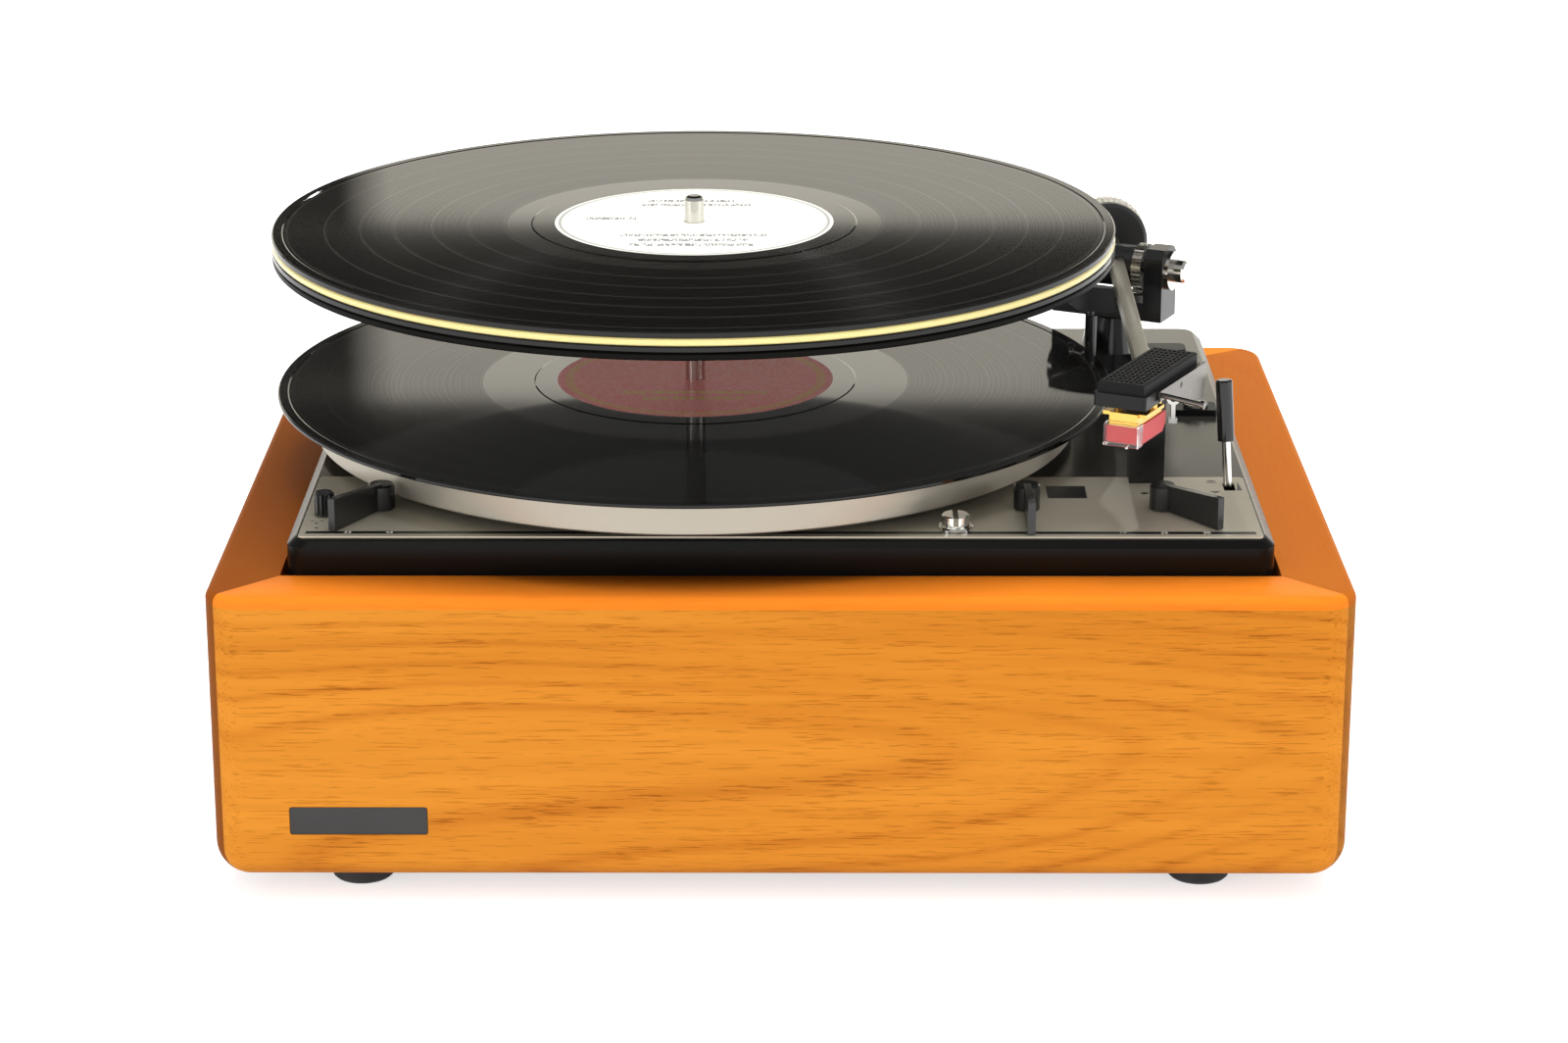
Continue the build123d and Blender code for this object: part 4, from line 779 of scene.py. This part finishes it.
def rounded_plate(name, low, high, corner):
    """A flat plate with rounded corners, thin along its shortest side, as a closed mesh."""
    form = bmesh.new()
    bmesh.ops.create_cube(form, size=1)
    size = Vector(high) - Vector(low)
    middle = (Vector(high) + Vector(low)) / 2
    thin = min(range(3), key=lambda axis: size[axis])
    for vert in form.verts:
        vert.co = Vector([vert.co[axis] * size[axis] + middle[axis] for axis in range(3)])
    edges = []
    for edge in form.edges:
        first, second = edge.verts
        if abs((first.co - second.co)[thin]) > size[thin] / 2:
            edges.append(edge)
    rounding = {"offset": corner, "segments": corner_segments, "profile": 0.5}
    bmesh.ops.bevel(form, geom=edges, affect="EDGES", **rounding)
    return finished(form, name)


def let_in(node, mesh):
    """Cut a closed mesh out of a node with a modifier."""
    cutter = bpy.data.objects.new(mesh.name, mesh)
    bpy.context.scene.collection.objects.link(cutter)
    cutter.hide_render = True
    cutter.hide_viewport = True
    cut = node.modifiers.new("pocket", "BOOLEAN")
    cut.object = cutter
    cut.operation = "DIFFERENCE"
    cut.solver = "EXACT"


def add_badge():
    """The bare name plate, let into the front board at its lower left."""
    face = front_low[1]
    left, right = front_low[0] + badge_left, front_low[0] + badge_right
    low = (left - badge_gap, face - badge_pocket, badge_bottom - badge_gap)
    high = (right + badge_gap, face + badge_pocket, badge_top + badge_gap)
    pocket = rounded_plate("badge_pocket", low, high, badge_corner + badge_gap)
    let_in(nodes["plinth_front"], pocket)
    badge_metal = plain("badge_dark", grey(0.035), 0.34, metallic=0.5)
    low = (left, face + badge_behind, badge_bottom)
    high = (right, face + badge_behind + badge_thickness, badge_top)
    mesh = rounded_plate("badge_plate", low, high, badge_corner)
    mesh_object("badge_plate", mesh, badge_metal)


def outline_mesh(name, outlines, low, high):
    """Flat shapes from (x, y) outlines, each closed between two heights."""
    form = bmesh.new()
    for outline in outlines:
        lower = [form.verts.new((x, y, low)) for x, y in outline]
        upper = [form.verts.new((x, y, high)) for x, y in outline]
        form.faces.new(reversed(lower))
        form.faces.new(upper)
        for step, corner in enumerate(lower):
            after = (step + 1) % len(lower)
            form.faces.new((corner, lower[after], upper[after], upper[step]))
    bmesh.ops.recalc_face_normals(form, faces=form.faces)
    return finished(form, name)


def rectangle(x, y, wide, deep):
    """A rectangle's outline about its middle."""
    left, right = x - wide / 2, x + wide / 2
    front, back = y - deep / 2, y + deep / 2
    return [(left, front), (right, front), (right, back), (left, back)]


def dot(x, y, radius, count=16):
    """A round dot's outline."""
    angles = [2 * pi * step / count for step in range(count)]
    return [(x + radius * cos(angle), y + radius * sin(angle)) for angle in angles]


print_height = 0.00004
strip_front_in = 0.0028
strip_depth = 0.0027
strip_end_in = 0.0022
number_height = 0.0019
number_font_size = 1.38 * number_height
number_places = {"33": -0.1451, "45": -0.1311, "17": 0.1146, "25": 0.1285, "30": 0.1427}

# Marks on the plate: a blank rectangle, dots by the left levers, and arrows with bars
blank = (0.0986, -0.0794, 0.0136, 0.0138)
dots = [
    (-0.1584, -0.1119, 0.0004),
    (-0.1552, -0.1119, 0.0004),
    (-0.1568, -0.1145, 0.00055),
    (-0.1561, -0.1197, 0.00055),
]
raise_arrow = [(0.1480, -0.0658), (0.1498, -0.0676), (0.1516, -0.0658)]
raise_bar = (0.1498, -0.0682, 0.0036, 0.0006)
lower_arrow = [(0.1487, -0.0789), (0.1502, -0.0807), (0.1517, -0.0789)]
lower_bar = (0.1502, -0.0784, 0.0034, 0.0005)
wedge = [(0.1578, -0.0772), (0.1597, -0.0772), (0.1589, -0.0677)]


def number_mesh(text, centre, low):
    """A number as a flat solid, from the built-in font."""
    curve = bpy.data.curves.new("number_" + text, "FONT")
    curve.body = text
    curve.size = number_font_size
    curve.align_x = "CENTER"
    curve.align_y = "CENTER"
    curve.extrude = print_height / 2
    writer = bpy.data.objects.new("number_" + text, curve)
    mesh = bpy.data.meshes.new_from_object(writer)
    bpy.data.objects.remove(writer)
    for vertex in mesh.vertices:
        vertex.co += Vector((centre[0], centre[1], low + print_height / 2))
    return mesh


def add_print():
    """The scale strip, its numbers and the small marks on the control plate."""
    low = plate_high[2]
    high = low + print_height
    black = plain("print_black", grey(0.008), 0.3)
    white = plain("print_white", colour(214, 210, 196), 0.5)
    front = plate_low[1] + strip_front_in
    left, right = plate_low[0] + strip_end_in, plate_high[0] - strip_end_in
    middle = front + strip_depth / 2
    marks = [rectangle((left + right) / 2, middle, right - left, strip_depth)]
    marks += [rectangle(*blank)] + [dot(*place) for place in dots]
    marks += [raise_arrow, rectangle(*raise_bar)]
    marks += [lower_arrow, rectangle(*lower_bar), wedge]
    mesh_object("plate_print", outline_mesh("plate_print", marks, low, high), black)
    for text, x in number_places.items():
        mesh_object("number_" + text, number_mesh(text, (x, middle), high), white)


for name, material in materials.items():
    dress(nodes[name], material)

bpy.context.scene.view_settings.view_transform = "Standard"
add_camera()
add_floor()
add_backdrop()
add_world()
for name, values in lamps.items():
    add_lamp(name, **values)
add_badge()
add_print()
